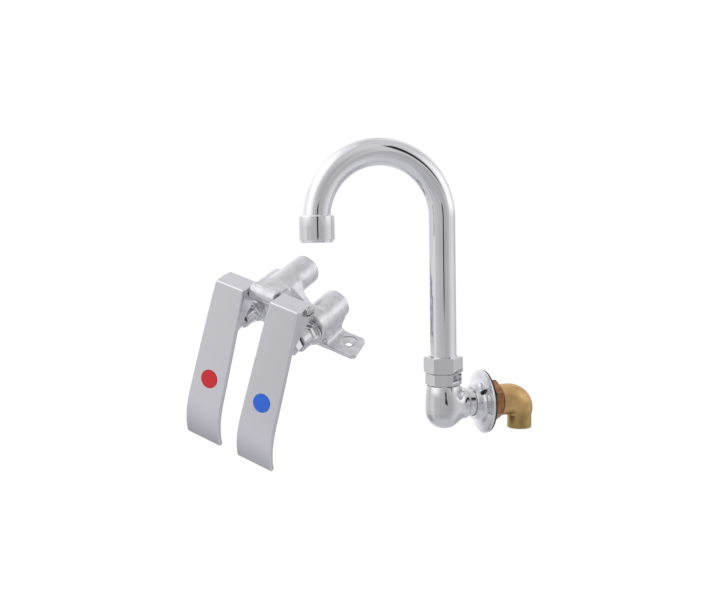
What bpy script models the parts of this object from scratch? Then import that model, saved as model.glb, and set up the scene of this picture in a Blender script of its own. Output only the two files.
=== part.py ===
"""Hands-free faucet set: a wall-mounted swivel gooseneck spout and a double knee valve.

Metres, +Z up.  The wall's face is the plane Y = 0, and the spout's threaded shank runs along Y
through the origin.  The valve is a second assembly.  It is laid out in its own upright frame,
whose origin is the middle of its hinge pin: X to the right, Y away from the user, Z up.
"""
import math

import bmesh
import bpy
from mathutils import Matrix, Vector

# ---- clearances and facets -------------------------------------------------------------------
GAP = 0.0003            # between pieces that touch or run in each other
SEAL_GAP = 0.00015      # between a rubber ring and the metal that it seals on
OVER = 0.001            # how far a cutter runs past the face that it cuts
FINE_EDGE = 0.0005      # bevel of small machined edges
EDGE = 0.0008           # bevel of ordinary machined edges
SOFT_EDGE = 0.0012      # bevel of polished cast edges
FINE = 32               # sides of the large round pieces
ROUND = 20              # sides of the other round pieces
SMALL = 16              # sides of the hidden round pieces

# ---- gooseneck tube --------------------------------------------------------------------------
TUBE_RADIUS = 0.0111
TUBE_WALL = 0.0012
ARCH_RADIUS = 0.0526
ARCH_CENTRE_Z = 0.1544
RISER_TO_WALL = 0.0364
TUBE_FOOT_Z = 0.0020
ARCH_STEPS = 18

# ---- outlet collar on the tube's end ---------------------------------------------------------
COLLAR_RADIUS = 0.0142
COLLAR_SKIRT = 0.0022
COLLAR_ABOVE_ARCH_END = 0.0040
COLLAR_HEIGHT = 0.0216
COLLAR_BORE_LIP = 0.0015
COLLAR_MOUTH_EASE = 0.0005
COLLAR_MOUTH_DEPTH = 0.0030
OUTLET_RECESS = 0.0062
SCREEN_THICKNESS = 0.0020
SCREEN_WASHER_THICKNESS = 0.0015
SCREEN_HOLE_RADIUS = 0.0013
SCREEN_HOLE_CIRCLE = 0.0056
SCREEN_HOLES = 6
TUBE_IN_COLLAR = 0.0113

# ---- swivel joint ----------------------------------------------------------------------------
NUT_CORNER_RADIUS = 0.0162
NUT_BOTTOM_Z = 0.0268
NUT_TOP_Z = 0.0402
NUT_LIP = 0.0022
HEX_TURN = math.radians(9.0)
ADAPTER_CORNER_RADIUS = 0.0150
ADAPTER_TOP_SPIGOT = 0.0067
ADAPTER_TOP_SPIGOT_RADIUS = 0.0124
ADAPTER_LOWER_SPIGOT_RADIUS = 0.0130
ADAPTER_LOWER_SPIGOT = 0.0120
BODY_TOP_Z = 0.0162
SLEEVE_HEIGHT = 0.0026
THRUST_WASHER_THICKNESS = 0.0010
O_RING_SECTION = 0.0007
O_RING_HEIGHTS = {"lower_o_ring": 0.0082, "upper_o_ring": 0.0128}

# ---- ball body and its horizontal neck -------------------------------------------------------
BALL_RADIUS = 0.0159
BALL_CENTRE_Z = -0.0040
BALL_POLE = 0.12         # radians of the bowl left flat at its lowest point
BODY_TOP_RADIUS = 0.0141
CHAMBER_RADIUS = 0.0116
CHAMBER_BOTTOM_Z = -0.0085
NECK_RADIUS = 0.0115
NECK_END = 0.0024
NECK_RING_RADIUS = 0.0130
NECK_RING_START = 0.0215
NECK_RING_LENGTH = 0.0042
NECK_WATERWAY_RADIUS = 0.0068
NECK_SOCKET_DEPTH = 0.0110

# ---- wall flange and gasket ------------------------------------------------------------------
FLANGE_RADIUS = 0.0267
FLANGE_THICKNESS = 0.0012
FLANGE_BACK = 0.0016
FLANGE_RIM = 0.0018
FLANGE_HUB_RADIUS = 0.0142
FLANGE_DEPTH = 0.0096
GASKET_RADIUS = 0.0262
GASKET_THICKNESS = 0.0013
SET_SCREW_RADIUS = 0.0019
SET_SCREW_ANGLE = math.radians(38.0)
SET_SCREW_FROM_BACK = 0.0047
SET_SCREW_LENGTH = 0.0028
SET_SCREW_HEX_RADIUS = 0.0011
SET_SCREW_HEX_DEPTH = 0.0012

# ---- shank, lock washer, locknut and elbow ---------------------------------------------------
SHANK_RADIUS = 0.0097
SHANK_BORE_RADIUS = 0.0062
THREAD_PITCH = 0.0018
THREAD_DEPTH = 0.0008
LOCKNUT_CORNER_RADIUS = 0.0173
LOCKNUT_START = 0.0048
LOCKNUT_END = 0.0118
LOCK_WASHER_THICKNESS = 0.0010
LOCK_WASHER_RADIUS = 0.0142
LOCK_WASHER_TEETH = 12
LOCK_WASHER_NOTCH = 0.88
LOCKNUT_TURN = math.radians(30.0)
ELBOW_FACE = 0.0131
ELBOW_SOCKET_RADIUS = 0.0131
ELBOW_SOCKET_END = 0.0219
ELBOW_SOCKET_DEPTH = 0.0085
ELBOW_LEG_RADIUS = 0.0102
ELBOW_LEG_BORE = 0.0080
ELBOW_LEG_BOTTOM_Z = -0.0249
ELBOW_PIVOT_GAP = 0.0006
ELBOW_STEPS = 6

# ---- valve placing ---------------------------------------------------------------------------
VALVE_LOCATION = (-0.0702, -0.1692, 0.0921)
VALVE_ROTATION = (math.radians(24.6), math.radians(18.3), math.radians(45.8))

# ---- valve casting, in the valve's own frame -------------------------------------------------
BARREL_PITCH = 0.0303    # from the middle to each inlet barrel and stem
PEDAL_PITCH = 0.0280     # from the middle of the pin to each pedal
PEDAL_SHIFT = 0.0008     # the pin's middle lies this far towards the cold side
BARREL_RADIUS = 0.0136
INLET_RADIUS = 0.0139
OUTLET_AXIS_Z = -0.0080
OUTLET_FRONT = 0.0080
OUTLET_REAR = 0.0629
INLET_AXIS_Z = -0.0366
INLET_REAR = 0.0677
SOCKET_BORE_RADIUS = 0.0092
INLET_SOCKET_DEPTH = 0.0080
OUTLET_BORE_START = 0.0190
STEM_AXIS_Z = -0.0408
CHAMBER_FRONT = 0.0240
CHAMBER_REAR = 0.0610
VALVE_BORE_RADIUS = 0.0085
VALVE_BORE_END = 0.0570
PORT_RADIUS = 0.0040
PORT_AXIS_Z = -0.0388
PASSAGE_RADIUS = 0.0030
PASSAGE_AT_CHAMBER = 0.0318
PASSAGE_AT_OUTLET = 0.0265
WEB_REAR = 0.0333
WEB_ABOVE = 0.0114
WEB_BELOW = 0.0060
EAR_TOP_Z = -0.0529
EAR_BASE_Z = -0.0571
EAR_INNER_X = 0.0450
EAR_OUTER_FRONT = (0.0738, 0.0280)
EAR_OUTER_BACK = (0.0699, 0.0566)
EAR_CORNER = 0.0030
FOOT_FRONT = 0.0300
FOOT_INNER_X = 0.0178
SCREW_HOLE = (0.0588, 0.0445)
SCREW_HOLE_RADIUS = 0.0033
COUNTERSINK_RADIUS = 0.0082
COUNTERSINK_DEPTH = 0.0026
KNUCKLE_RADIUS = 0.0071
KNUCKLE_HALF_WIDTH = 0.0125
ARM_HALF_WIDTH = 0.0112

# ---- hinge pin -------------------------------------------------------------------------------
PIN_RADIUS = 0.0024
PIN_HEAD_RADIUS = 0.0052
PIN_HEAD_LENGTH = 0.0042
PIN_SLOT_WIDTH = 0.0012
PIN_SLOT_DEPTH = 0.0016
PIN_NUT_RADIUS = 0.0036
PIN_NUT_LENGTH = 0.0024
PIN_BEYOND_NUT = 0.0005

# ---- pedals, in their own frame: origin on the hinge axis ------------------------------------
PEDAL_FRONT_Y = -0.0138
PEDAL_TOP_Z = 0.0062
PEDAL_TOP_WIDTH = 0.0284
PEDAL_FOOT_WIDTH = 0.0373
PEDAL_SPREAD = 0.6       # power of the widening: below 1 it is quicker near the top
PEDAL_THICKNESS = 0.0038
TOP_PLATE_DEPTH = 0.0209
TOP_PLATE_SLOPE = math.radians(6.2)
BLADE_LEAN = math.radians(22.0)
BLADE_STRAIGHT = 0.1050
BLADE_CURVE = 0.0460
BLADE_END_LEAN = math.radians(-10.0)
BLADE_STEPS = 7
GUSSET_THICKNESS = 0.0026
GUSSET_INSET = 0.0002
GUSSET_BACK_Z = -0.0085
GUSSET_FOOT_Z = -0.0340
GUSSET_CORNER = 0.0040
LUG_HALF_WIDTH = 0.0050
LUG_HALF_HEIGHT = 0.0060
LUG_DRAFT = 0.0012
MARKER_RADIUS = 0.0083
MARKER_THICKNESS = 0.0005
MARKER_DOWN_BLADE = 0.0870

# ---- bonnet, stem and seat, turned about the stem axis ---------------------------------------
BONNET_HEX_RADIUS = 0.0114
BONNET_HEX_LENGTH = 0.0075
BONNET_RADIUS = 0.0106
BONNET_NOSE_RADIUS = 0.0095
BONNET_FLANGE_RADIUS = 0.0129
BONNET_FLANGE_THICKNESS = 0.0022
BONNET_FRONT = 0.0033
BONNET_SPIGOT = 0.0040
PACKING_BORE_RADIUS = 0.0058
PACKING_BORE_DEPTH = 0.0090
PACKING_NUT_CORNER_RADIUS = 0.0078
PACKING_NUT_FRONT = -0.0060
PACKING_NUT_SPIGOT = 0.0036
STEM_RADIUS = 0.0032
STEM_TIP = -0.0120
STEM_TIP_DOME = 0.0020
SEAT_FRONT = 0.0358
SEAT_THICKNESS = 0.0026
SEAT_BORE_RADIUS = 0.0052
SEAT_RIM = 0.0006
SEAT_WASHER_RADIUS = 0.0070
SEAT_WASHER_THICKNESS = 0.0018
HOLDER_THICKNESS = 0.0026
SPRING_GUIDE_RADIUS = 0.0024
SPRING_GUIDE_END = 0.0500
SPRING_RADIUS = 0.0052
SPRING_WIRE_RADIUS = 0.0005
SPRING_TURNS = 5
SPRING_STEPS = 10

ALONG_Y = (-math.pi / 2, 0.0, 0.0)
ALONG_X = (0.0, math.pi / 2, 0.0)
RISER_AXIS = Vector((0.0, -RISER_TO_WALL, 0.0))
HOT, COLD = -1, 1


# ---- materials -------------------------------------------------------------------------------
def make_surface(name, colour, metallic, roughness):
    surface = bpy.data.materials.new(name)
    surface.use_nodes = True
    shader = surface.node_tree.nodes["Principled BSDF"]
    shader.inputs["Base Color"].default_value = (*colour, 1.0)
    shader.inputs["Metallic"].default_value = metallic
    shader.inputs["Roughness"].default_value = roughness
    return surface


# ---- mesh tools ------------------------------------------------------------------------------
def ring(radius, height, segments, turn=0.0):
    """Points of a circle about Z."""
    step = 2 * math.pi / segments
    angles = [turn + step * i for i in range(segments)]
    return [Vector((radius * math.cos(a), radius * math.sin(a), height)) for a in angles]


def pull_flats(rings):
    """Turn rings of twelve points into hexagons by moving every second point onto a flat."""
    for points in rings:
        for point in points[1::2]:
            point.x *= math.cos(math.pi / 6)
            point.y *= math.cos(math.pi / 6)


def skin(bm, rings, closed=False):
    """Join rings of the same count with quads.  A closed skin comes back to its first ring."""
    rows = [[bm.verts.new(point) for point in points] for points in rings]
    pairs = list(zip(rows, rows[1:]))
    if closed:
        pairs.append((rows[-1], rows[0]))
    else:
        bm.faces.new(rows[0])
        bm.faces.new(rows[-1])
    count = len(rows[0])
    for here, there in pairs:
        for i in range(count):
            j = (i + 1) % count
            bm.faces.new((here[i], here[j], there[j], there[i]))


def add_object(name, bm, surface, parent=None, location=(0.0, 0.0, 0.0), rotation=(0.0, 0.0, 0.0)):
    bmesh.ops.recalc_face_normals(bm, faces=bm.faces)
    mesh = bpy.data.meshes.new(name)
    bm.to_mesh(mesh)
    bm.free()
    if surface:
        mesh.materials.append(surface)
    mesh.shade_smooth()
    mesh.set_sharp_from_angle(angle=math.radians(35.0))
    obj = bpy.data.objects.new(name, mesh)
    bpy.context.collection.objects.link(obj)
    obj.parent = parent
    obj.location = location
    obj.rotation_euler = rotation
    return obj


def add_empty(name, parent=None, location=(0.0, 0.0, 0.0), rotation=(0.0, 0.0, 0.0)):
    empty = bpy.data.objects.new(name, None)
    bpy.context.collection.objects.link(empty)
    empty.parent = parent
    empty.location = location
    empty.rotation_euler = rotation
    return empty


def turned(name, profile, surface, segments=ROUND, closed=True, **place):
    """A solid of revolution about its own Z, from (radius, height) points."""
    bm = bmesh.new()
    skin(bm, [ring(radius, height, segments) for radius, height in profile], closed)
    return add_object(name, bm, surface, **place)


def washer_profile(inner, outer, low, high):
    return [(inner, low), (outer, low), (outer, high), (inner, high)]


def prism(bm, outline, axis, low, high):
    """Extrude an outline of two coordinates along the X, Y or Z axis."""
    rings = []
    for level in (low, high):
        points = []
        for first, second in outline:
            values = [first, second]
            values.insert(axis, level)
            points.append(Vector(values))
        rings.append(points)
    skin(bm, rings)


def rod(bm, start, end, radius, segments=ROUND):
    """A cylinder between two points."""
    start = Vector(start)
    end = Vector(end)
    turn = (end - start).to_track_quat("Z", "Y").to_matrix()
    skin(bm, [
        [start + turn @ point for point in ring(radius, 0.0, segments)],
        [end + turn @ point for point in ring(radius, 0.0, segments)],
    ])


def add_tool(name, bm, parent=None, **place):
    """A boolean operand: shown as wire and left out of renders."""
    tool = add_object(name, bm, None, parent=parent, **place)
    tool.hide_render = True
    tool.display_type = "WIRE"
    return tool


def combine(target, tool, operation):
    step = target.modifiers.new(tool.name, "BOOLEAN")
    step.operation = operation
    step.object = tool


def arc(centre, radius, start, end, steps):
    """Points of an arc in a plane, angles in radians."""
    angles = [start + (end - start) * i / steps for i in range(steps + 1)]
    return [(centre[0] + radius * math.cos(a), centre[1] + radius * math.sin(a)) for a in angles]


def hex_blank(name, corner_radius, low, high, surface, chamfer, bore_profile, **place):
    """A hexagon with its corners turned off, less a turned bore."""
    bm = bmesh.new()
    skin(bm, [ring(corner_radius, low, 6), ring(corner_radius, high, 6)])
    blank = add_object(name, bm, surface, **place)
    flat_radius = corner_radius * math.cos(math.pi / 6)
    outside = bmesh.new()
    drop = (corner_radius - flat_radius) * 0.9
    low_radius = flat_radius if chamfer[0] else corner_radius + GAP
    high_radius = flat_radius if chamfer[1] else corner_radius + GAP
    skin(outside, [
        ring(low_radius, low, ROUND),
        ring(corner_radius + GAP, low + drop, ROUND),
        ring(corner_radius + GAP, high - drop, ROUND),
        ring(high_radius, high, ROUND),
    ])
    combine(blank, add_tool(name + "_chamfer", outside, **place), "INTERSECT")
    bore = bmesh.new()
    skin(bore, [ring(radius, height, ROUND) for radius, height in bore_profile])
    combine(blank, add_tool(name + "_bore", bore, **place), "DIFFERENCE")
    return blank


# ---- spout -----------------------------------------------------------------------------------
def tube_path():
    """Stations of the gooseneck's centreline: point and the section's tilt about X."""
    stations = [(Vector((0.0, 0.0, TUBE_FOOT_Z)), 0.0),
                (Vector((0.0, 0.0, ARCH_CENTRE_Z * 0.5)), 0.0)]
    for i in range(ARCH_STEPS + 1):
        angle = math.pi * i / ARCH_STEPS
        y = -ARCH_RADIUS + ARCH_RADIUS * math.cos(angle)
        z = ARCH_CENTRE_Z + ARCH_RADIUS * math.sin(angle)
        stations.append((Vector((0.0, y, z)), angle))
    end_z = ARCH_CENTRE_Z + COLLAR_ABOVE_ARCH_END - TUBE_IN_COLLAR
    stations.append((Vector((0.0, -2 * ARCH_RADIUS, end_z)), math.pi))
    return stations


def build_gooseneck(surface, swivel):
    rings = []
    stations = tube_path()
    for radius, run in ((TUBE_RADIUS, stations), (TUBE_RADIUS - TUBE_WALL, stations[::-1])):
        for centre, angle in run:
            tilt = Matrix.Rotation(angle, 3, "X")
            rings.append([centre + tilt @ point for point in ring(radius, 0.0, ROUND)])
    bm = bmesh.new()
    skin(bm, rings, closed=True)
    return add_object("gooseneck_tube", bm, surface, parent=swivel)


def build_outlet(chrome, steel, rubber, swivel):
    """The collar on the tube's end, with the screen and its washer inside."""
    place = {"parent": swivel, "location": (0.0, -2 * ARCH_RADIUS, 0.0)}
    top = ARCH_CENTRE_Z + COLLAR_ABOVE_ARCH_END
    bottom = top - COLLAR_HEIGHT
    lip_radius = TUBE_RADIUS - COLLAR_BORE_LIP
    shoulder = top - TUBE_IN_COLLAR - GAP
    bore = TUBE_RADIUS + GAP
    screen_top = bottom + OUTLET_RECESS + SCREEN_THICKNESS
    washer_top = screen_top + GAP + SCREEN_WASHER_THICKNESS
    screen_radius = COLLAR_RADIUS - COLLAR_SKIRT
    turned("outlet_collar", [
        (bore + COLLAR_MOUTH_EASE, top),
        (bore + EDGE, top),
        (COLLAR_RADIUS - EDGE, top - EDGE / 2),
        (COLLAR_RADIUS, top - 2 * EDGE),
        (COLLAR_RADIUS, bottom + 2 * EDGE),
        (COLLAR_RADIUS - EDGE / 2, bottom + EDGE / 2),
        (COLLAR_RADIUS - 1.5 * EDGE, bottom),
        (screen_radius - 2 * EDGE, bottom),
        (screen_radius - 2 * EDGE, bottom + OUTLET_RECESS - GAP),
        (screen_radius + GAP, bottom + OUTLET_RECESS - GAP),
        (screen_radius + GAP, washer_top + GAP),
        (lip_radius, washer_top + GAP),
        (lip_radius, shoulder),
        (bore, shoulder),
        (bore, top - COLLAR_MOUTH_DEPTH),
    ], chrome, FINE, **place)
    bm = bmesh.new()
    low = bottom + OUTLET_RECESS
    skin(bm, [ring(screen_radius, low, ROUND), ring(screen_radius, low + SCREEN_THICKNESS, ROUND)])
    screen = add_object("outlet_screen", bm, steel, **place)
    holes = bmesh.new()
    spots = [(0.0, 0.0)]
    spots += [(p.x, p.y) for p in ring(SCREEN_HOLE_CIRCLE, 0.0, SCREEN_HOLES)]
    for x, y in spots:
        rod(holes, (x, y, low - OVER), (x, y, low + SCREEN_THICKNESS + OVER), SCREEN_HOLE_RADIUS, 8)
    combine(screen, add_tool("outlet_screen_holes", holes, **place), "DIFFERENCE")
    turned("outlet_screen_washer", washer_profile(
        lip_radius, screen_radius, screen_top + GAP, washer_top), rubber, **place)


def build_swivel(chrome, brass, rubber, nylon, root, swivel):
    """Nut, hex adapter, O-rings, thrust washer and the sleeve that is fixed on the tube."""
    place = {"parent": root, "location": RISER_AXIS}
    hexes = {"parent": root, "location": RISER_AXIS, "rotation": (0.0, 0.0, HEX_TURN)}
    thread_radius = ADAPTER_TOP_SPIGOT_RADIUS + GAP
    lip_z = NUT_TOP_Z - NUT_LIP
    running = TUBE_RADIUS + GAP
    hex_blank("swivel_nut", NUT_CORNER_RADIUS, NUT_BOTTOM_Z, NUT_TOP_Z, chrome, (True, True), [
        (thread_radius, NUT_BOTTOM_Z - OVER),
        (thread_radius, lip_z),
        (running, lip_z),
        (running, NUT_TOP_Z + OVER),
    ], **hexes)

    hex_low = BODY_TOP_Z + GAP
    hex_high = NUT_BOTTOM_Z - GAP
    spigot_low = hex_low - ADAPTER_LOWER_SPIGOT
    spigot_high = hex_high + ADAPTER_TOP_SPIGOT
    groove_radius = running + 2 * O_RING_SECTION + SEAL_GAP
    bore = [(running, spigot_low - OVER)]
    for height in sorted(O_RING_HEIGHTS.values()):
        half = O_RING_SECTION + GAP
        bore += [(running, height - half), (groove_radius, height - half)]
        bore += [(groove_radius, height + half), (running, height + half)]
    bore.append((running, spigot_high + OVER))
    adapter = hex_blank("hex_adapter", ADAPTER_CORNER_RADIUS, hex_low, hex_high, chrome,
                        (True, False), bore, **hexes)
    spigots = bmesh.new()
    skin(spigots, [
        ring(ADAPTER_LOWER_SPIGOT_RADIUS, spigot_low, ROUND),
        ring(ADAPTER_LOWER_SPIGOT_RADIUS, hex_low + OVER, ROUND),
        ring(ADAPTER_TOP_SPIGOT_RADIUS, hex_low + OVER, ROUND),
        ring(ADAPTER_TOP_SPIGOT_RADIUS, spigot_high, ROUND),
    ])
    tool = add_tool("hex_adapter_spigots", spigots, **hexes)
    combine(adapter, tool, "UNION")
    adapter.modifiers.move(len(adapter.modifiers) - 1, 1)

    for name, height in O_RING_HEIGHTS.items():
        middle = TUBE_RADIUS + SEAL_GAP + O_RING_SECTION
        section = arc((middle, height), O_RING_SECTION, 0.0, 2 * math.pi, 6)[:-1]
        turned(name, section, rubber, SMALL + 4, **place)

    sleeve_low = spigot_high + GAP
    sleeve_high = sleeve_low + SLEEVE_HEIGHT
    outer = thread_radius - GAP
    turned("swivel_sleeve", washer_profile(TUBE_RADIUS + SEAL_GAP, outer, sleeve_low, sleeve_high),
           brass, parent=swivel)
    low = lip_z - GAP - THRUST_WASHER_THICKNESS
    turned("thrust_washer", washer_profile(running, outer, low, lip_z - GAP), nylon, **place)


def build_spout_body(chrome, root):
    """The ball-shaped angle body: a turned ball with a neck along Y."""
    side = math.asin((BALL_RADIUS - BODY_TOP_RADIUS) / BALL_RADIUS)
    bowl = arc((0.0, BALL_CENTRE_Z), BALL_RADIUS, -math.pi / 2 + BALL_POLE, side, 9)
    profile = bowl + [
        (BODY_TOP_RADIUS + SOFT_EDGE, BODY_TOP_Z * 0.55),
        (BODY_TOP_RADIUS, BODY_TOP_Z - EDGE),
        (BODY_TOP_RADIUS - FINE_EDGE, BODY_TOP_Z),
    ]
    body = turned("spout_body", profile, chrome, FINE, closed=False, parent=root,
                  location=RISER_AXIS)
    neck = bmesh.new()
    front = RISER_TO_WALL - NECK_END
    ring_end = RISER_TO_WALL - NECK_RING_START + NECK_RING_LENGTH
    levels = [
        (NECK_RING_RADIUS - SOFT_EDGE, 0.0),
        (NECK_RING_RADIUS, RISER_TO_WALL - NECK_RING_START),
        (NECK_RING_RADIUS, ring_end - SOFT_EDGE),
        (NECK_RADIUS, ring_end),
        (NECK_RADIUS, front),
    ]
    skin(neck, [ring(radius, height, ROUND) for radius, height in levels])
    combine(body, add_tool("spout_body_neck", neck, parent=root, location=RISER_AXIS,
                           rotation=ALONG_Y), "UNION")
    bore = bmesh.new()
    mouth = ADAPTER_LOWER_SPIGOT_RADIUS + GAP
    step = BODY_TOP_Z - ADAPTER_LOWER_SPIGOT - GAP
    skin(bore, [
        ring(CHAMBER_RADIUS * 0.7, CHAMBER_BOTTOM_Z, ROUND),
        ring(CHAMBER_RADIUS, CHAMBER_BOTTOM_Z * 0.5, ROUND),
        ring(CHAMBER_RADIUS, step, ROUND),
        ring(mouth, step, ROUND),
        ring(mouth, BODY_TOP_Z + OVER, ROUND),
    ])
    combine(body, add_tool("spout_body_bore", bore, parent=root, location=RISER_AXIS), "DIFFERENCE")
    socket = bmesh.new()
    shank_fit = SHANK_RADIUS + GAP
    skin(socket, [
        ring(NECK_WATERWAY_RADIUS, 0.0, ROUND),
        ring(NECK_WATERWAY_RADIUS, front - NECK_SOCKET_DEPTH, ROUND),
        ring(shank_fit, front - NECK_SOCKET_DEPTH, ROUND),
        ring(shank_fit, front + OVER, ROUND),
    ])
    combine(body, add_tool("spout_body_socket", socket, parent=root, location=RISER_AXIS,
                           rotation=ALONG_Y), "DIFFERENCE")


def build_flange(chrome, steel, rubber, root):
    """The domed flange, its set screw, and the gasket that meets the wall."""
    bore = NECK_RADIUS + GAP
    back = -FLANGE_BACK
    front = back - FLANGE_DEPTH
    rise = FLANGE_RADIUS - FLANGE_HUB_RADIUS
    flange = turned("wall_flange", [
        (bore, front),
        (FLANGE_HUB_RADIUS - FINE_EDGE, front),
        (FLANGE_HUB_RADIUS, front + FINE_EDGE),
        (FLANGE_HUB_RADIUS + FINE_EDGE, back - FLANGE_DEPTH * 0.55),
        (FLANGE_HUB_RADIUS + rise * 0.18, back - FLANGE_DEPTH * 0.40),
        (FLANGE_HUB_RADIUS + rise * 0.45, back - FLANGE_DEPTH * 0.29),
        (FLANGE_HUB_RADIUS + rise * 0.75, back - FLANGE_DEPTH * 0.20),
        (FLANGE_RADIUS - FINE_EDGE, back - FLANGE_THICKNESS),
        (FLANGE_RADIUS, back - FLANGE_THICKNESS * 0.6),
        (FLANGE_RADIUS, back),
        (FLANGE_RADIUS - FLANGE_RIM, back),
        (FLANGE_HUB_RADIUS + rise * 0.40, back - FLANGE_THICKNESS * 0.7),
        (bore, back - FLANGE_THICKNESS * 0.7),
    ], chrome, FINE, parent=root, rotation=ALONG_Y)
    screw_place = {
        "parent": root,
        "location": (0.0, back - SET_SCREW_FROM_BACK, 0.0),
        "rotation": (0.0, math.pi / 2 - SET_SCREW_ANGLE, 0.0),
    }
    hole = bmesh.new()
    skin(hole, [
        ring(SET_SCREW_RADIUS + GAP, bore - 2 * GAP, SMALL),
        ring(SET_SCREW_RADIUS + GAP, FLANGE_RADIUS, SMALL),
    ])
    combine(flange, add_tool("wall_flange_screw_hole", hole, **screw_place), "DIFFERENCE")
    turned("flange_set_screw", [
        (SET_SCREW_RADIUS - GAP, bore),
        (SET_SCREW_RADIUS, bore + GAP),
        (SET_SCREW_RADIUS, bore + SET_SCREW_LENGTH),
        (SET_SCREW_HEX_RADIUS, bore + SET_SCREW_LENGTH),
        (SET_SCREW_HEX_RADIUS * 0.98, bore + SET_SCREW_LENGTH - SET_SCREW_HEX_DEPTH),
    ], steel, 12, closed=False, **screw_place)
    turned("flange_gasket", washer_profile(bore, GASKET_RADIUS, -GASKET_THICKNESS, 0.0),
           rubber, FINE, parent=root, rotation=ALONG_Y)


def build_inlet(brass, copper, steel, root):
    """Threaded shank, lock washer, locknut and the cast elbow behind the wall."""
    place = {"parent": root, "rotation": ALONG_Y}
    start = -NECK_END - NECK_SOCKET_DEPTH + GAP
    end = ELBOW_FACE + ELBOW_SOCKET_DEPTH - GAP
    root_radius = SHANK_RADIUS - THREAD_DEPTH
    profile = [(SHANK_BORE_RADIUS, start), (SHANK_RADIUS, start), (SHANK_RADIUS, GAP)]
    height = 2 * GAP
    while height < ELBOW_FACE:
        profile.append((root_radius, height))
        profile.append((SHANK_RADIUS, height + THREAD_PITCH / 2))
        height += THREAD_PITCH
    profile += [(root_radius, height), (root_radius, end), (SHANK_BORE_RADIUS, end)]
    turned("threaded_shank", profile, copper, ROUND, **place)

    fit = SHANK_RADIUS + GAP
    hex_blank("locknut", LOCKNUT_CORNER_RADIUS, LOCKNUT_START, LOCKNUT_END, copper, (False, True), [
        (fit, LOCKNUT_START - OVER),
        (fit, LOCKNUT_END + OVER),
    ], parent=root, rotation=(ALONG_Y[0], LOCKNUT_TURN, 0.0))

    high = LOCKNUT_START - GAP
    low = high - LOCK_WASHER_THICKNESS
    bm = bmesh.new()
    rings = []
    for height, inner in ((low, True), (low, False), (high, False), (high, True)):
        radius = fit if inner else LOCK_WASHER_RADIUS
        points = ring(radius, height, 2 * LOCK_WASHER_TEETH)
        if not inner:
            for point in points[::2]:
                point.x *= LOCK_WASHER_NOTCH
                point.y *= LOCK_WASHER_NOTCH
        rings.append(points)
    skin(bm, rings, closed=True)
    add_object("lock_washer", bm, steel, **place)

    pivot = Vector((0.0, ELBOW_SOCKET_END, -ELBOW_SOCKET_RADIUS - ELBOW_PIVOT_GAP))
    mouth = Vector((0.0, ELBOW_FACE, 0.0))
    outside = [(mouth, 0.0, ELBOW_SOCKET_RADIUS - FINE_EDGE),
               (mouth + Vector((0.0, FINE_EDGE, 0.0)), 0.0, ELBOW_SOCKET_RADIUS)]
    socket_end = ELBOW_FACE + ELBOW_SOCKET_DEPTH
    inside = [(mouth, 0.0, fit),
              (Vector((0.0, socket_end, 0.0)), 0.0, fit),
              (Vector((0.0, socket_end, 0.0)), 0.0, ELBOW_LEG_BORE)]
    for i in range(ELBOW_STEPS + 1):
        share = i / ELBOW_STEPS
        angle = share * math.pi / 2
        radius = ELBOW_SOCKET_RADIUS + (ELBOW_LEG_RADIUS - ELBOW_SOCKET_RADIUS) * share ** 2
        reach = radius + ELBOW_PIVOT_GAP
        centre = pivot + Vector((0.0, reach * math.sin(angle), reach * math.cos(angle)))
        outside.append((centre, angle, radius))
        inside.append((centre, angle, ELBOW_LEG_BORE))
    foot = Vector((0.0, outside[-1][0].y, ELBOW_LEG_BOTTOM_Z))
    outside.append((foot + Vector((0.0, 0.0, FINE_EDGE)), math.pi / 2, ELBOW_LEG_RADIUS))
    outside.append((foot, math.pi / 2, ELBOW_LEG_RADIUS - FINE_EDGE))
    inside.append((foot, math.pi / 2, ELBOW_LEG_BORE))
    rings = []
    for centre, angle, radius in outside + inside[::-1]:
        tilt = Matrix.Rotation(-math.pi / 2 - angle, 3, "X")
        rings.append([centre + tilt @ point for point in ring(radius, 0.0, ROUND)])
    bm = bmesh.new()
    skin(bm, rings, closed=True)
    add_object("inlet_elbow", bm, brass, parent=root)


# ---- valve casting ---------------------------------------------------------------------------
def chamber_rings(side):
    """An inlet barrel that deepens in front, where it also holds the lower stem bore."""
    x = side * BARREL_PITCH
    step = INLET_RADIUS * 0.15
    sections = [
        (CHAMBER_FRONT, STEM_AXIS_Z),
        (CHAMBER_REAR, STEM_AXIS_Z),
        (CHAMBER_REAR + step, INLET_AXIS_Z),
        (INLET_REAR, INLET_AXIS_Z),
    ]
    rings = []
    half = ROUND // 2
    for y, low_axis in sections:
        outline = arc((x, INLET_AXIS_Z), INLET_RADIUS, 0.0, math.pi, half)
        outline += arc((x, low_axis), INLET_RADIUS, math.pi, 2 * math.pi, half)
        if low_axis == INLET_AXIS_Z:
            outline = arc((x, INLET_AXIS_Z), INLET_RADIUS, 0.0, 2 * math.pi, 2 * half + 2)[:-1]
        rings.append([Vector((a, y, b)) for a, b in outline])
    return rings


def web_outline(side):
    """The web between the outlet barrel and an inlet barrel, a little below both their tops."""
    start = Vector((0.0, OUTLET_AXIS_Z))
    end = Vector((side * BARREL_PITCH, INLET_AXIS_Z))
    along = (end - start).normalized()
    above = Vector((side * -along.y, side * along.x))
    length = (end - start).length
    top = above * WEB_ABOVE
    low = above * -WEB_BELOW
    near = start + along * BARREL_RADIUS * 0.65
    far = start + along * (length - BARREL_RADIUS * 0.2)
    return [tuple(near + top), tuple(far + top), tuple(far + low), tuple(near + low)]


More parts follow.
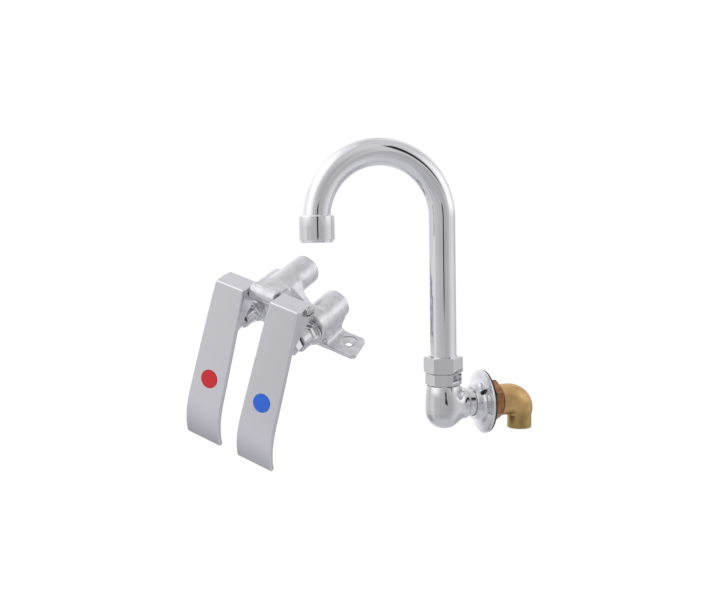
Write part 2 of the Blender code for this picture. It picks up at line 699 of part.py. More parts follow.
def foot_outline(side):
    """Section of the wall that carries a barrel on its base plate."""
    inner = side * (FOOT_INNER_X + GAP)
    outer = side * EAR_INNER_X
    low = (EAR_BASE_Z + EAR_TOP_Z) / 2
    barrel_side = side * (BARREL_PITCH + INLET_RADIUS - GAP)
    return [(inner, low), (outer, low), (outer, EAR_TOP_Z),
            (barrel_side, STEM_AXIS_Z), (inner, STEM_AXIS_Z)]


def ear_outline(side):
    """Plan of a base plate and its ear, with the two outer corners turned off."""
    front = Vector(EAR_OUTER_FRONT)
    back = Vector(EAR_OUTER_BACK)
    inner = FOOT_INNER_X
    points = [(inner, FOOT_FRONT - EDGE),
              (front.x - EAR_CORNER, front.y), (front.x, front.y + EAR_CORNER),
              (back.x, back.y - EAR_CORNER), (back.x - EAR_CORNER, back.y), (inner, back.y)]
    return [(side * x, y) for x, y in points]


def arm_rings():
    """The arm between the knuckle's block section and the outlet barrel's round one."""
    rings = []
    steps = 4
    for i in range(steps + 1):
        share = i / steps
        power = 0.5 + 0.5 * share
        half_width = ARM_HALF_WIDTH + (BARREL_RADIUS * 0.98 - ARM_HALF_WIDTH) * share
        half_height = KNUCKLE_RADIUS * 0.97 + (BARREL_RADIUS - KNUCKLE_RADIUS * 0.97) * share * 0.98
        y = (OUTLET_FRONT * 2) * share
        middle = OUTLET_AXIS_Z * share
        points = []
        for spot in ring(1.0, 0.0, ROUND, math.pi / ROUND):
            x = math.copysign(abs(spot.x) ** power, spot.x) * half_width
            z = math.copysign(abs(spot.y) ** power, spot.y) * half_height
            points.append(Vector((x, y, middle + z)))
        rings.append(points)
    return rings


def build_casting(surface, valve):
    bm = bmesh.new()
    rod(bm, (0.0, OUTLET_FRONT, OUTLET_AXIS_Z), (0.0, OUTLET_REAR, OUTLET_AXIS_Z), BARREL_RADIUS)
    casting = add_object("valve_casting", bm, surface, parent=valve)

    def tool_of(name, operation, add_side, sides=(HOT, COLD)):
        tool_mesh = bmesh.new()
        for side in sides:
            add_side(tool_mesh, side)
        combine(casting, add_tool("casting_" + name, tool_mesh, parent=valve), operation)

    def along_y(x, z, start, end, radius):
        def add_side(tool_mesh, side):
            rod(tool_mesh, (side * x, start, z), (side * x, end, z), radius)
        return add_side

    back = EAR_OUTER_BACK[1] - GAP
    front = CHAMBER_FRONT + GAP
    tool_of("chambers", "UNION", lambda mesh, side: skin(mesh, chamber_rings(side)))
    tool_of("webs", "UNION", lambda mesh, side: prism(mesh, web_outline(side), 1, front, WEB_REAR))
    tool_of("feet", "UNION",
            lambda mesh, side: prism(mesh, foot_outline(side), 1, FOOT_FRONT, back))
    tool_of("ears", "UNION",
            lambda mesh, side: prism(mesh, ear_outline(side), 2, EAR_BASE_Z, EAR_TOP_Z))
    tool_of("knuckle", "UNION",
            lambda mesh, side: rod(mesh, (-KNUCKLE_HALF_WIDTH, 0.0, 0.0),
                                   (KNUCKLE_HALF_WIDTH, 0.0, 0.0), KNUCKLE_RADIUS), (COLD,))
    arm = bmesh.new()
    skin(arm, arm_rings())
    combine(casting, add_tool("casting_arm", arm, parent=valve), "UNION")

    def passage(tool_mesh, side):
        rod(tool_mesh, (side * BARREL_PITCH, PASSAGE_AT_CHAMBER, STEM_AXIS_Z),
            (0.0, PASSAGE_AT_OUTLET, OUTLET_AXIS_Z), PASSAGE_RADIUS, SMALL)

    def screw_hole(tool_mesh, side):
        x, y = SCREW_HOLE
        levels = [(SCREW_HOLE_RADIUS, EAR_BASE_Z - OVER),
                  (SCREW_HOLE_RADIUS, EAR_TOP_Z - COUNTERSINK_DEPTH),
                  (COUNTERSINK_RADIUS, EAR_TOP_Z),
                  (COUNTERSINK_RADIUS, EAR_TOP_Z + OVER)]
        middle = Vector((side * x, y, 0.0))
        skin(tool_mesh, [[middle + p for p in ring(r, z, ROUND)] for r, z in levels])

    tool_of("outlet_bore", "DIFFERENCE",
            along_y(0.0, OUTLET_AXIS_Z, OUTLET_BORE_START, OUTLET_REAR + OVER, SOCKET_BORE_RADIUS),
            (COLD,))
    tool_of("inlet_sockets", "DIFFERENCE",
            along_y(BARREL_PITCH, INLET_AXIS_Z, INLET_REAR - INLET_SOCKET_DEPTH,
                    INLET_REAR + OVER, SOCKET_BORE_RADIUS))
    tool_of("valve_bores", "DIFFERENCE",
            along_y(BARREL_PITCH, STEM_AXIS_Z, CHAMBER_FRONT - OVER, VALVE_BORE_END,
                    VALVE_BORE_RADIUS))
    tool_of("ports", "DIFFERENCE",
            along_y(BARREL_PITCH, PORT_AXIS_Z, VALVE_BORE_END - OVER,
                    INLET_REAR - INLET_SOCKET_DEPTH + OVER, PORT_RADIUS))
    tool_of("passages", "DIFFERENCE", passage, (HOT,))
    tool_of("cold_passage", "DIFFERENCE", passage, (COLD,))
    tool_of("screw_holes", "DIFFERENCE", screw_hole)
    tool_of("pin_bore", "DIFFERENCE",
            lambda mesh, side: rod(mesh, (-KNUCKLE_HALF_WIDTH - OVER, 0.0, 0.0),
                                   (KNUCKLE_HALF_WIDTH + OVER, 0.0, 0.0), PIN_RADIUS + GAP, SMALL),
            (COLD,))


def build_hinge_pin(steel, valve):
    """The pin through the knuckle and both pedals: slotted head at the cold end, nut at the hot."""
    pedal_side = PEDAL_PITCH + PEDAL_TOP_WIDTH / 2
    head = PEDAL_SHIFT + pedal_side + GAP
    nut = PEDAL_SHIFT - pedal_side - GAP
    tail = nut - PIN_NUT_LENGTH - PIN_BEYOND_NUT
    pin = turned("hinge_pin", [
        (PIN_RADIUS - GAP, tail),
        (PIN_RADIUS, tail + 2 * GAP),
        (PIN_RADIUS, head),
        (PIN_HEAD_RADIUS, head),
        (PIN_HEAD_RADIUS, head + PIN_HEAD_LENGTH * 0.75),
        (PIN_HEAD_RADIUS - SOFT_EDGE, head + PIN_HEAD_LENGTH),
    ], steel, SMALL, closed=False, parent=valve, rotation=ALONG_X)
    slot = bmesh.new()
    half = PIN_SLOT_WIDTH / 2
    low = head + PIN_HEAD_LENGTH - PIN_SLOT_DEPTH
    reach = PIN_HEAD_RADIUS + OVER
    prism(slot, [(-half, -reach), (half, -reach), (half, reach), (-half, reach)],
          2, low, low + PIN_SLOT_DEPTH + OVER)
    combine(pin, add_tool("hinge_pin_slot", slot, parent=valve, rotation=ALONG_X), "DIFFERENCE")
    bm = bmesh.new()
    rings = [ring(PIN_RADIUS + SEAL_GAP, nut - PIN_NUT_LENGTH, 12),
             ring(PIN_NUT_RADIUS, nut - PIN_NUT_LENGTH, 12),
             ring(PIN_NUT_RADIUS, nut, 12),
             ring(PIN_RADIUS + SEAL_GAP, nut, 12)]
    pull_flats(rings[1:3])
    skin(bm, rings, closed=True)
    add_object("hinge_pin_nut", bm, steel, parent=valve, rotation=ALONG_X)


# ---- pedals ----------------------------------------------------------------------------------
def blade_station(run):
    """Point (y, z) and lean at a distance down the blade's front, from its top edge."""
    straight = min(run, BLADE_STRAIGHT)
    y = PEDAL_FRONT_Y - straight * math.sin(BLADE_LEAN)
    z = PEDAL_TOP_Z - straight * math.cos(BLADE_LEAN)
    lean = BLADE_LEAN
    if run > BLADE_STRAIGHT:
        radius = BLADE_CURVE / (BLADE_LEAN - BLADE_END_LEAN)
        lean = BLADE_LEAN - (run - BLADE_STRAIGHT) / radius
        y += radius * (math.cos(BLADE_LEAN) - math.cos(lean))
        z -= radius * (math.sin(BLADE_LEAN) - math.sin(lean))
    return y, z, lean


def pedal_strip():
    """Stations of the bent plate: half width, front point and back point."""
    plate_y = math.cos(TOP_PLATE_SLOPE)
    plate_z = -math.sin(TOP_PLATE_SLOPE)
    t = PEDAL_THICKNESS
    half = PEDAL_TOP_WIDTH / 2
    rear = (PEDAL_FRONT_Y + TOP_PLATE_DEPTH * plate_y, PEDAL_TOP_Z + TOP_PLATE_DEPTH * plate_z)
    under = (rear[0] + t * plate_z, rear[1] - t * plate_y)
    stations = [(half, rear, under)]
    bend = (math.pi / 2 - BLADE_LEAN + TOP_PLATE_SLOPE) / 2
    corner_y = PEDAL_FRONT_Y + t * math.tan(bend) * plate_y + t * plate_z
    corner_z = PEDAL_TOP_Z + t * math.tan(bend) * plate_z - t * plate_y
    stations.append((half, (PEDAL_FRONT_Y, PEDAL_TOP_Z), (corner_y, corner_z)))
    length = BLADE_STRAIGHT + BLADE_CURVE
    runs = [BLADE_STRAIGHT + BLADE_CURVE * i / BLADE_STEPS for i in range(BLADE_STEPS + 1)]
    for run in [BLADE_STRAIGHT * share for share in (0.1, 0.3, 0.6)] + runs:
        y, z, lean = blade_station(run)
        spread = (PEDAL_FOOT_WIDTH - PEDAL_TOP_WIDTH) * (run / length) ** PEDAL_SPREAD
        width = PEDAL_TOP_WIDTH + spread
        back = (y + t * math.cos(lean), z - t * math.sin(lean))
        stations.append((width / 2, (y, z), back))
    return stations


def build_pedal(name, surface, valve, side):
    middle = PEDAL_SHIFT + side * PEDAL_PITCH
    hinge = add_empty(name + "_hinge", parent=valve, location=(middle, 0.0, 0.0))
    bm = bmesh.new()
    rings = []
    for half, front, back in pedal_strip():
        rings.append([Vector((-half, *front)), Vector((half, *front)),
                      Vector((half, *back)), Vector((-half, *back))])
    skin(bm, rings)
    pedal = add_object(name, bm, surface, parent=hinge)

    gussets = bmesh.new()
    inset = PEDAL_THICKNESS * 0.5
    back_y = PEDAL_FRONT_Y + TOP_PLATE_DEPTH - GAP
    top_front = PEDAL_TOP_Z - inset
    top_back = PEDAL_TOP_Z - TOP_PLATE_DEPTH * math.tan(TOP_PLATE_SLOPE) - inset
    foot_run = (PEDAL_TOP_Z - GUSSET_FOOT_Z) / math.cos(BLADE_LEAN)
    foot_y = blade_station(foot_run)[0] + inset
    outline = [(PEDAL_FRONT_Y + inset, top_front), (back_y, top_back), (back_y, GUSSET_BACK_Z),
               (back_y - GUSSET_CORNER, GUSSET_BACK_Z - GUSSET_CORNER),
               (foot_y + inset, GUSSET_FOOT_Z), (foot_y, GUSSET_FOOT_Z)]
    outer = PEDAL_TOP_WIDTH / 2 - GUSSET_INSET
    prism(gussets, outline, 0, outer - GUSSET_THICKNESS, outer)
    prism(gussets, outline, 0, -outer, GUSSET_THICKNESS - outer)
    combine(pedal, add_tool(name + "_gussets", gussets, parent=hinge), "UNION")

    lug = bmesh.new()
    lug_low = STEM_AXIS_Z - LUG_HALF_HEIGHT
    lug_high = STEM_AXIS_Z + LUG_HALF_HEIGHT
    low_y = blade_station((PEDAL_TOP_Z - lug_low) / math.cos(BLADE_LEAN))[0] + inset
    high_y = blade_station((PEDAL_TOP_Z - lug_high) / math.cos(BLADE_LEAN))[0] + inset
    face_y = STEM_TIP - GAP
    stem_x = side * BARREL_PITCH - middle
    prism(lug, [(low_y, lug_low - 2 * LUG_DRAFT), (face_y, lug_low + LUG_DRAFT),
                (face_y, lug_high - LUG_DRAFT), (high_y, lug_high + 2 * LUG_DRAFT)],
          0, stem_x - LUG_HALF_WIDTH, stem_x + LUG_HALF_WIDTH)
    combine(pedal, add_tool(name + "_lug", lug, parent=hinge), "UNION")

    hole = bmesh.new()
    reach = PEDAL_TOP_WIDTH
    rod(hole, (-reach, 0.0, 0.0), (reach, 0.0, 0.0), PIN_RADIUS + GAP, SMALL)
    combine(pedal, add_tool(name + "_pin_hole", hole, parent=hinge), "DIFFERENCE")
    return hinge


def build_marker(name, surface, hinge):
    """The round colour marker on the blade's front."""
    y, z, lean = blade_station(MARKER_DOWN_BLADE)
    levels = [(MARKER_RADIUS, SEAL_GAP), (MARKER_RADIUS, SEAL_GAP + MARKER_THICKNESS)]
    turned(name, levels, surface, ROUND + 4, closed=False, parent=hinge, location=(0.0, y, z),
           rotation=(math.pi / 2 - lean, 0.0, 0.0))


# ---- stems, bonnets and seats ----------------------------------------------------------------
def build_valve_unit(prefix, surfaces, valve, side):
    """One side's bonnet, packing, stem, seat washer, seat and spring."""
    chrome, brass, rubber, steel = surfaces
    place = {
        "parent": valve,
        "location": (side * BARREL_PITCH, 0.0, STEM_AXIS_Z),
        "rotation": ALONG_Y,
    }
    running = STEM_RADIUS + GAP
    shoulder = CHAMBER_FRONT - GAP
    hex_front = shoulder - BONNET_HEX_LENGTH
    flat = BONNET_HEX_RADIUS * math.cos(math.pi / 6)

    flange_front = shoulder - BONNET_FLANGE_THICKNESS
    hex_end = shoulder - BONNET_FLANGE_THICKNESS / 2
    bonnet = hex_blank(prefix + "_bonnet", BONNET_HEX_RADIUS, hex_front, hex_end, chrome,
                       (True, False), [
                           (PACKING_BORE_RADIUS, BONNET_FRONT - OVER),
                           (PACKING_BORE_RADIUS, BONNET_FRONT + PACKING_BORE_DEPTH),
                           (running, BONNET_FRONT + PACKING_BORE_DEPTH),
                           (running, shoulder + BONNET_SPIGOT + OVER),
                       ], **place)
    rounds = bmesh.new()
    skin(rounds, [
        ring(BONNET_NOSE_RADIUS - EDGE, BONNET_FRONT, ROUND),
        ring(BONNET_NOSE_RADIUS, BONNET_FRONT + EDGE, ROUND),
        ring(min(BONNET_RADIUS, flat), hex_front + OVER, ROUND),
        ring(VALVE_BORE_RADIUS - GAP, hex_front + OVER, ROUND),
        ring(VALVE_BORE_RADIUS - GAP, flange_front, ROUND),
        ring(BONNET_FLANGE_RADIUS - FINE_EDGE, flange_front, ROUND),
        ring(BONNET_FLANGE_RADIUS, flange_front + FINE_EDGE, ROUND),
        ring(BONNET_FLANGE_RADIUS, shoulder, ROUND),
        ring(VALVE_BORE_RADIUS - GAP, shoulder, ROUND),
        ring(VALVE_BORE_RADIUS - GAP, shoulder + BONNET_SPIGOT, ROUND),
    ])
    combine(bonnet, add_tool(prefix + "_bonnet_rounds", rounds, **place), "UNION")
    bonnet.modifiers.move(len(bonnet.modifiers) - 1, 1)

    nut_back = BONNET_FRONT - GAP
    spigot_end = nut_back + PACKING_NUT_SPIGOT
    corner = PACKING_NUT_CORNER_RADIUS
    bm = bmesh.new()
    hexed = [ring(corner - EDGE, PACKING_NUT_FRONT, 12),
             ring(corner, PACKING_NUT_FRONT + EDGE, 12), ring(corner, nut_back, 12)]
    pull_flats(hexed[1:])
    spigot_radius = PACKING_BORE_RADIUS - GAP
    rings = [ring(running, PACKING_NUT_FRONT, 12)] + hexed
    rings += [ring(spigot_radius, nut_back, 12), ring(spigot_radius, spigot_end, 12),
              ring(running, spigot_end, 12)]
    skin(bm, rings, closed=True)
    add_object(prefix + "_packing_nut", bm, chrome, **place)

    packing_low = spigot_end + SEAL_GAP
    packing_high = BONNET_FRONT + PACKING_BORE_DEPTH - SEAL_GAP
    turned(prefix + "_packing", washer_profile(
        STEM_RADIUS + SEAL_GAP, PACKING_BORE_RADIUS - SEAL_GAP, packing_low, packing_high),
        rubber, SMALL, **place)

    seat_back = SEAT_FRONT + SEAT_THICKNESS
    rim_outer = SEAT_BORE_RADIUS + SOFT_EDGE
    turned(prefix + "_seat", [
        (SEAT_BORE_RADIUS, SEAT_FRONT),
        (VALVE_BORE_RADIUS - GAP, SEAT_FRONT),
        (VALVE_BORE_RADIUS - GAP, seat_back),
        (rim_outer, seat_back),
        (rim_outer - FINE_EDGE, seat_back + SEAT_RIM),
        (SEAT_BORE_RADIUS, seat_back + SEAT_RIM),
    ], brass, SMALL + 4, **place)

    washer_low = seat_back + SEAT_RIM + SEAL_GAP
    washer_high = washer_low + SEAT_WASHER_THICKNESS
    turned(prefix + "_seat_washer", washer_profile(STEM_RADIUS + SEAL_GAP, SEAT_WASHER_RADIUS,
                                                   washer_low, washer_high), rubber, SMALL, **place)
    holder = washer_high + SEAL_GAP
    holder_end = holder + HOLDER_THICKNESS
    turned(prefix + "_stem", [
        (STEM_RADIUS * 0.35, STEM_TIP),
        (STEM_RADIUS * 0.80, STEM_TIP + STEM_TIP_DOME * 0.35),
        (STEM_RADIUS, STEM_TIP + STEM_TIP_DOME),
        (STEM_RADIUS, holder),
        (SEAT_WASHER_RADIUS, holder),
        (SEAT_WASHER_RADIUS, holder_end),
        (SPRING_GUIDE_RADIUS, holder_end),
        (SPRING_GUIDE_RADIUS, SPRING_GUIDE_END),
    ], steel, SMALL, closed=False, **place)

    low = holder_end + GAP + SPRING_WIRE_RADIUS
    high = VALVE_BORE_END - GAP - SPRING_WIRE_RADIUS
    steps = SPRING_TURNS * SPRING_STEPS
    rings = []
    slope = math.atan2(high - low, SPRING_TURNS * 2 * math.pi * SPRING_RADIUS)
    for i in range(steps + 1):
        angle = 2 * math.pi * i / SPRING_STEPS
        turn = Matrix.Rotation(angle, 3, "Z")
        tilt = Matrix.Rotation(slope, 3, "X")
        centre = Vector((SPRING_RADIUS, 0.0, low + (high - low) * i / steps))
        wire = [Vector((p.x, 0.0, p.y)) for p in ring(SPRING_WIRE_RADIUS, 0.0, 5)]
        rings.append([turn @ (centre + tilt @ point) for point in wire])
    bm = bmesh.new()
    skin(bm, rings)
    add_object(prefix + "_return_spring", bm, steel, **place)


# ---- assembly --------------------------------------------------------------------------------
def main():
    for obj in list(bpy.data.objects):
        bpy.data.objects.remove(obj, do_unlink=True)

    chrome = make_surface("polished_chrome", (0.80, 0.80, 0.82), 1.0, 0.08)
    cast_chrome = make_surface("cast_chrome", (0.70, 0.70, 0.74), 1.0, 0.32)
    satin = make_surface("satin_chrome", (0.68, 0.68, 0.73), 1.0, 0.28)
    brass = make_surface("cast_brass", (0.62, 0.44, 0.17), 1.0, 0.35)
    copper = make_surface("copper_brass", (0.62, 0.36, 0.20), 1.0, 0.30)
    steel = make_surface("stainless_steel", (0.60, 0.60, 0.60), 1.0, 0.25)
    rubber = make_surface("black_rubber", (0.02, 0.02, 0.02), 0.0, 0.60)
    nylon = make_surface("white_nylon", (0.80, 0.78, 0.74), 0.0, 0.45)
    red = make_surface("red_marker", (0.61, 0.02, 0.03), 0.0, 0.35)
    blue = make_surface("blue_marker", (0.02, 0.16, 0.72), 0.0, 0.35)

    root = add_empty("spout_frame")
    swivel = add_empty("spout_swivel", parent=root, location=RISER_AXIS)
    build_gooseneck(chrome, swivel)
    build_outlet(chrome, steel, rubber, swivel)
    build_swivel(chrome, brass, rubber, nylon, root, swivel)
    build_spout_body(chrome, root)
    build_flange(chrome, steel, rubber, root)
    build_inlet(brass, copper, steel, root)

    valve = add_empty("valve_frame", location=VALVE_LOCATION, rotation=VALVE_ROTATION)
    build_casting(cast_chrome, valve)
    build_hinge_pin(steel, valve)
    for prefix, side, colour in (("hot", HOT, red), ("cold", COLD, blue)):
        hinge = build_pedal(prefix + "_pedal", satin, valve, side)
        build_marker(prefix + "_marker", colour, hinge)
        build_valve_unit(prefix, (chrome, brass, rubber, steel), valve, side)


main()
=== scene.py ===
"""The looks of a hands-free faucet set: a swivel gooseneck spout and a double knee valve.

Metres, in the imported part's own frame: the wall's face is Y = 0 and +Z is up.  The valve's pieces
are made in the valve's upright frame (X right, Y away from the user, Z up, origin in the middle of
the hinge pin) and are then put where the part has it.
"""

import math

import bpy
import numpy as np
from mathutils import Euler, Matrix, Vector


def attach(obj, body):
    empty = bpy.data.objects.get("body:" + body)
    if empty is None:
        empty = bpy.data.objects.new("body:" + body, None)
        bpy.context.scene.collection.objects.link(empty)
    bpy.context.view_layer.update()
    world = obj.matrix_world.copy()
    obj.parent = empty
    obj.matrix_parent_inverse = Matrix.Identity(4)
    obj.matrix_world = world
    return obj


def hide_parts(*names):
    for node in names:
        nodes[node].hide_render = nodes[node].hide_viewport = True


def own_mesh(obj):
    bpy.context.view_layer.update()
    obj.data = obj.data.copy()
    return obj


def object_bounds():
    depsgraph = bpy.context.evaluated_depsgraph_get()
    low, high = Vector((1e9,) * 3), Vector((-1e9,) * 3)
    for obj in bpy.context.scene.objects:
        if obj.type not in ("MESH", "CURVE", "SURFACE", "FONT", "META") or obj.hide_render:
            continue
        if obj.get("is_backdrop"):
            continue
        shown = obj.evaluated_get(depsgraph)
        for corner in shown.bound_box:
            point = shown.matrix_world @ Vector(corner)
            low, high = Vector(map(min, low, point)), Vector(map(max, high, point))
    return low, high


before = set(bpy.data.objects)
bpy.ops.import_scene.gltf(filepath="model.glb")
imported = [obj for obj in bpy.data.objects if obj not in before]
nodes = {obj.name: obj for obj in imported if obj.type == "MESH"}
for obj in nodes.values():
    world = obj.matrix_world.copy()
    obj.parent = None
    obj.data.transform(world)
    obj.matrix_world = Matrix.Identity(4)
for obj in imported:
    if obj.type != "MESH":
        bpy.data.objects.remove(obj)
cad_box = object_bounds()

# ---- sizes that are repeated from the part's source ----
GAP = 0.0003               # between pieces that fit into each other
RISER = Vector((0.0, -0.0364, 0.0))
TUBE_RADIUS = 0.0111
TUBE_WALL = 0.0012
ARCH_RADIUS = 0.0526
ARCH_CENTRE_Z = 0.1544
TUBE_FOOT_Z = 0.0020
TUBE_END_Z = 0.1471
OUTLET = Vector((0.0, -0.1416, 0.0))
COLLAR_LOW = 0.1368
COLLAR_HIGH = 0.1584
COLLAR_RADIUS = 0.0142
SCREEN_RADIUS = 0.0120
SCREEN_THICKNESS = 0.0020
SCREEN_WASHER_THICKNESS = 0.0015
NUT_LOW, NUT_HIGH = 0.0268, 0.0402
NUT_CORNER = 0.0162
HEX_LOW, HEX_HIGH = 0.0165, 0.0265
HEX_CORNER = 0.0150
HEX_TURN = math.radians(9.0)
SPIGOT_LOW, SPIGOT_HIGH = 0.0045, 0.0332
SPIGOT_RADIUS = 0.0124
LOWER_SPIGOT_RADIUS = 0.0130
O_RING_HEIGHTS = (0.0082, 0.0128)
O_RING_WIRE = 0.0007
BALL_RADIUS = 0.0159
BALL_Z = -0.0040
BODY_TOP_Z = 0.0162
CHAMBER_RADIUS = 0.0116
NECK_RADIUS = 0.0115
NECK_END = 0.0340
NECK_RING_RADIUS = 0.0130
NECK_RING_END = 0.0191
FLANGE_BACK = -0.0016
FLANGE_RADIUS = 0.0267
SHANK_RADIUS = 0.0097
SHANK_BORE = 0.0062
SHANK_FRONT, SHANK_REAR = -0.0131, 0.0213
THREAD_ROOT = 0.0089
THREAD_PITCH = 0.0013
LOCKNUT_FRONT, LOCKNUT_REAR = 0.0048, 0.0118
LOCKNUT_CORNER = 0.0173
ELBOW_FRONT = 0.0131
ELBOW_SOCKET_RADIUS = 0.0131
ELBOW_LEG_RADIUS = 0.0102
ELBOW_LEG_Y = 0.0327
ELBOW_LEG_END_Z = -0.0249
VALVE = Matrix.Translation((-0.0702, -0.1692, 0.0921)) @ Euler(
    (math.radians(24.6), math.radians(18.3), math.radians(45.8))).to_matrix().to_4x4()
BARREL_PITCH = 0.0303
PEDAL_PITCH = 0.0280
PEDAL_SHIFT = 0.0008
BARREL_RADIUS = 0.0136
INLET_RADIUS = 0.0139
OUTLET_AXIS_Z = -0.0080
INLET_AXIS_Z = -0.0366
STEM_AXIS_Z = -0.0408
OUTLET_FRONT, OUTLET_REAR = 0.0080, 0.0629
INLET_FRONT, INLET_REAR = 0.0240, 0.0677
CHAMBER_REAR = 0.0618
SOCKET_RADIUS = 0.0092
VALVE_BORE_RADIUS = 0.0085
EAR_TOP_Z = -0.0529
EAR_BASE_Z = -0.0571
EAR_INNER_X = 0.0181
SCREW_HOLE = (0.0588, 0.0445)
SCREW_HOLE_RADIUS = 0.0033
COUNTERSINK_RADIUS = 0.0082
KNUCKLE_RADIUS = 0.0071
KNUCKLE_HALF_WIDTH = 0.0125
PIN_RADIUS = 0.0024
PIN_HEAD_RADIUS = 0.0052
PIN_HOLE_RADIUS = 0.0027
PIN_NUT_LENGTH = 0.0029
PEDAL_HALF_WIDTH = 0.0142
LUG_HALF_WIDTH = 0.0050
LUG_HALF_HEIGHT = 0.0060
LUG_REAR_Y = -0.0123
MARKER_RADIUS = 0.0083
BONNET_CORNER = 0.0114
BONNET_FLANGE_RADIUS = 0.0129
BONNET_NOSE_RADIUS = 0.0095
BONNET_SKIRT_RADIUS = 0.0082
PACKING_BORE_RADIUS = 0.0058
PACKING_NUT_CORNER = 0.0078
STEM_RADIUS = 0.0032
STEM_HOLE_RADIUS = 0.0035
SEAT_WASHER_RADIUS = 0.0070
GUIDE_RADIUS = 0.0024
SIDES = (("hot", -1), ("cold", 1))

# Matrices that lay an axis along Z down along Y or X.
TURN_Y = Matrix.Rotation(-math.pi / 2, 4, "X")
TURN_X = Matrix.Rotation(math.pi / 2, 4, "Y")


def at(x, y, z):
    return Matrix.Translation((x, y, z))


# ---- distance fields ----
def smooth_min(a, b, width):
    """The union of two fields, with a fillet of about the width where they meet."""
    share = np.clip(0.5 + 0.5 * (b - a) / width, 0.0, 1.0)
    return b + (a - b) * share - width * share * (1.0 - share)


def smooth_max(a, b, width):
    """The part that two fields share, with its edge rounded over about the width."""
    return -smooth_min(-a, -b, width)


def slab(value, low, high):
    return np.maximum(low - value, value - high)


def cylinder(across, along, radius, low, high, edge):
    """A capped cylinder from the distance to its axis and the place along it."""
    return smooth_max(across - radius, slab(along, low, high), edge)


def from_segment(a, b, start, end):
    """Squared distance to a segment in a plane."""
    ex, ey = end[0] - start[0], end[1] - start[1]
    wx, wy = a - start[0], b - start[1]
    share = np.clip((wx * ex + wy * ey) / (ex * ex + ey * ey), 0.0, 1.0)
    return (wx - ex * share) ** 2 + (wy - ey * share) ** 2


def polygon(a, b, points):
    """Signed distance to a polygon in a plane."""
    best = np.full(np.shape(a), 1e9)
    sign = np.ones(np.shape(a))
    for i, (ax, ay) in enumerate(points):
        bx, by = points[i - 1]
        best = np.minimum(best, from_segment(a, b, (ax, ay), (bx, by)))
        above = b >= ay
        below = b < by
        left = (bx - ax) * (b - ay) > (by - ay) * (a - ax)
        flip = (above & below & left) | (~above & ~below & ~left)
        sign = np.where(flip, -sign, sign)
    return sign * np.sqrt(best)


def polyline(a, b, points):
    """Distance to an open line of points in a plane."""
    best = np.full(np.shape(a), 1e9)
    for start, end in zip(points, points[1:]):
        best = np.minimum(best, from_segment(a, b, start, end))
    return np.sqrt(best)


def hexagon(a, b, corner, turn):
    """Distance to a hexagon with a corner at the given turn."""
    flat = corner * math.cos(math.pi / 6)
    best = np.full(np.shape(a), -1e9)
    for i in range(6):
        angle = turn + math.pi / 6 + math.pi / 3 * i
        best = np.maximum(best, a * math.cos(angle) + b * math.sin(angle) - flat)
    return best


# ---- meshes ----
def surface_of(field, low, high, step):
    """Points and quads of the field's zero surface, with the points moved onto it.

    The field is sampled coarsely, once per block of cells, and finely only near the surface.
    """
    block = 4
    blend_reach = 0.002    # a blended field can be this far from a true distance
    axes = []
    for a, b in zip(low, high):
        count = block * int(math.ceil(((b - a) / step + 4) / block))
        axes.append(a - 2 * step + step * np.arange(count))
    middles = [axis.reshape(-1, block).mean(1) for axis in axes]
    coarse = field(*np.meshgrid(*middles, indexing="ij"))
    value = coarse.repeat(block, 0).repeat(block, 1).repeat(block, 2)
    near = (np.abs(value) < block * step + blend_reach).nonzero()
    value[near] = field(*(axis[index] for axis, index in zip(axes, near)))
    inside = value < 0

    corners = [(i, j, k) for i in (0, 1) for j in (0, 1) for k in (0, 1)]
    shape = [n - 1 for n in value.shape]

    def shifted(array, corner):
        return array[tuple(slice(c, c + n) for c, n in zip(corner, shape))]

    count = sum(shifted(inside, c).astype(np.int8) for c in corners)
    cells = ((count > 0) & (count < 8)).nonzero()
    number = np.full(shape, -1, np.int64)
    number[cells] = np.arange(len(cells[0]))
    total = np.zeros((len(cells[0]), 3))
    hits = np.zeros(len(cells[0]))
    for first in corners:
        for axis in range(3):
            if first[axis]:
                continue
            second = list(first)
            second[axis] = 1
            va = value[tuple(c + o for c, o in zip(cells, first))]
            vb = value[tuple(c + o for c, o in zip(cells, second))]
            cross = (va < 0) != (vb < 0)
            share = np.where(cross, va / np.where(cross, va - vb, 1.0), 0.0)
            for i in range(3):
                place = first[i] + (share if i == axis else 0.0)
                total[:, i] += np.where(cross, place, 0.0)
            hits += cross
    points = np.stack([axes[i][cells[i]] + step * total[:, i] / hits for i in range(3)], 1)

    quads = []
    for axis in range(3):
        b, c = (axis + 1) % 3, (axis + 2) % 3
        here = [slice(1, -1)] * 3
        there = [slice(1, -1)] * 3
        here[axis] = slice(0, -1)
        there[axis] = slice(1, None)
        low_in = inside[tuple(here)]
        change = (low_in != inside[tuple(there)]).nonzero()
        flip = ~low_in[change]
        ring = []
        for db, dc in ((0, 0), (1, 0), (1, 1), (0, 1)):
            spot = list(change)
            spot[b] = spot[b] + db
            spot[c] = spot[c] + dc
            ring.append(number[tuple(spot)])
        ring = np.stack(ring, 1)
        ring[flip] = ring[flip][:, ::-1]
        quads.append(ring)
    quads = np.concatenate(quads)

    for _ in range(4):
        slope = gradient(field, points)
        size = (slope ** 2).sum(1, keepdims=True)
        move = slope * (field(*points.T)[:, None] / np.maximum(size, 1e-6))
        length = np.linalg.norm(move, axis=1, keepdims=True)
        move *= np.minimum(1.0, 0.7 * step / np.maximum(length, 1e-12))
        points = points - move
    return points, quads


def gradient(field, points):
    reach = 0.00002
    slope = []
    for axis in range(3):
        offset = np.zeros(3)
        offset[axis] = reach
        ahead = field(*(points + offset).T)
        behind = field(*(points - offset).T)
        slope.append((ahead - behind) / (2 * reach))
    return np.stack(slope, 1)


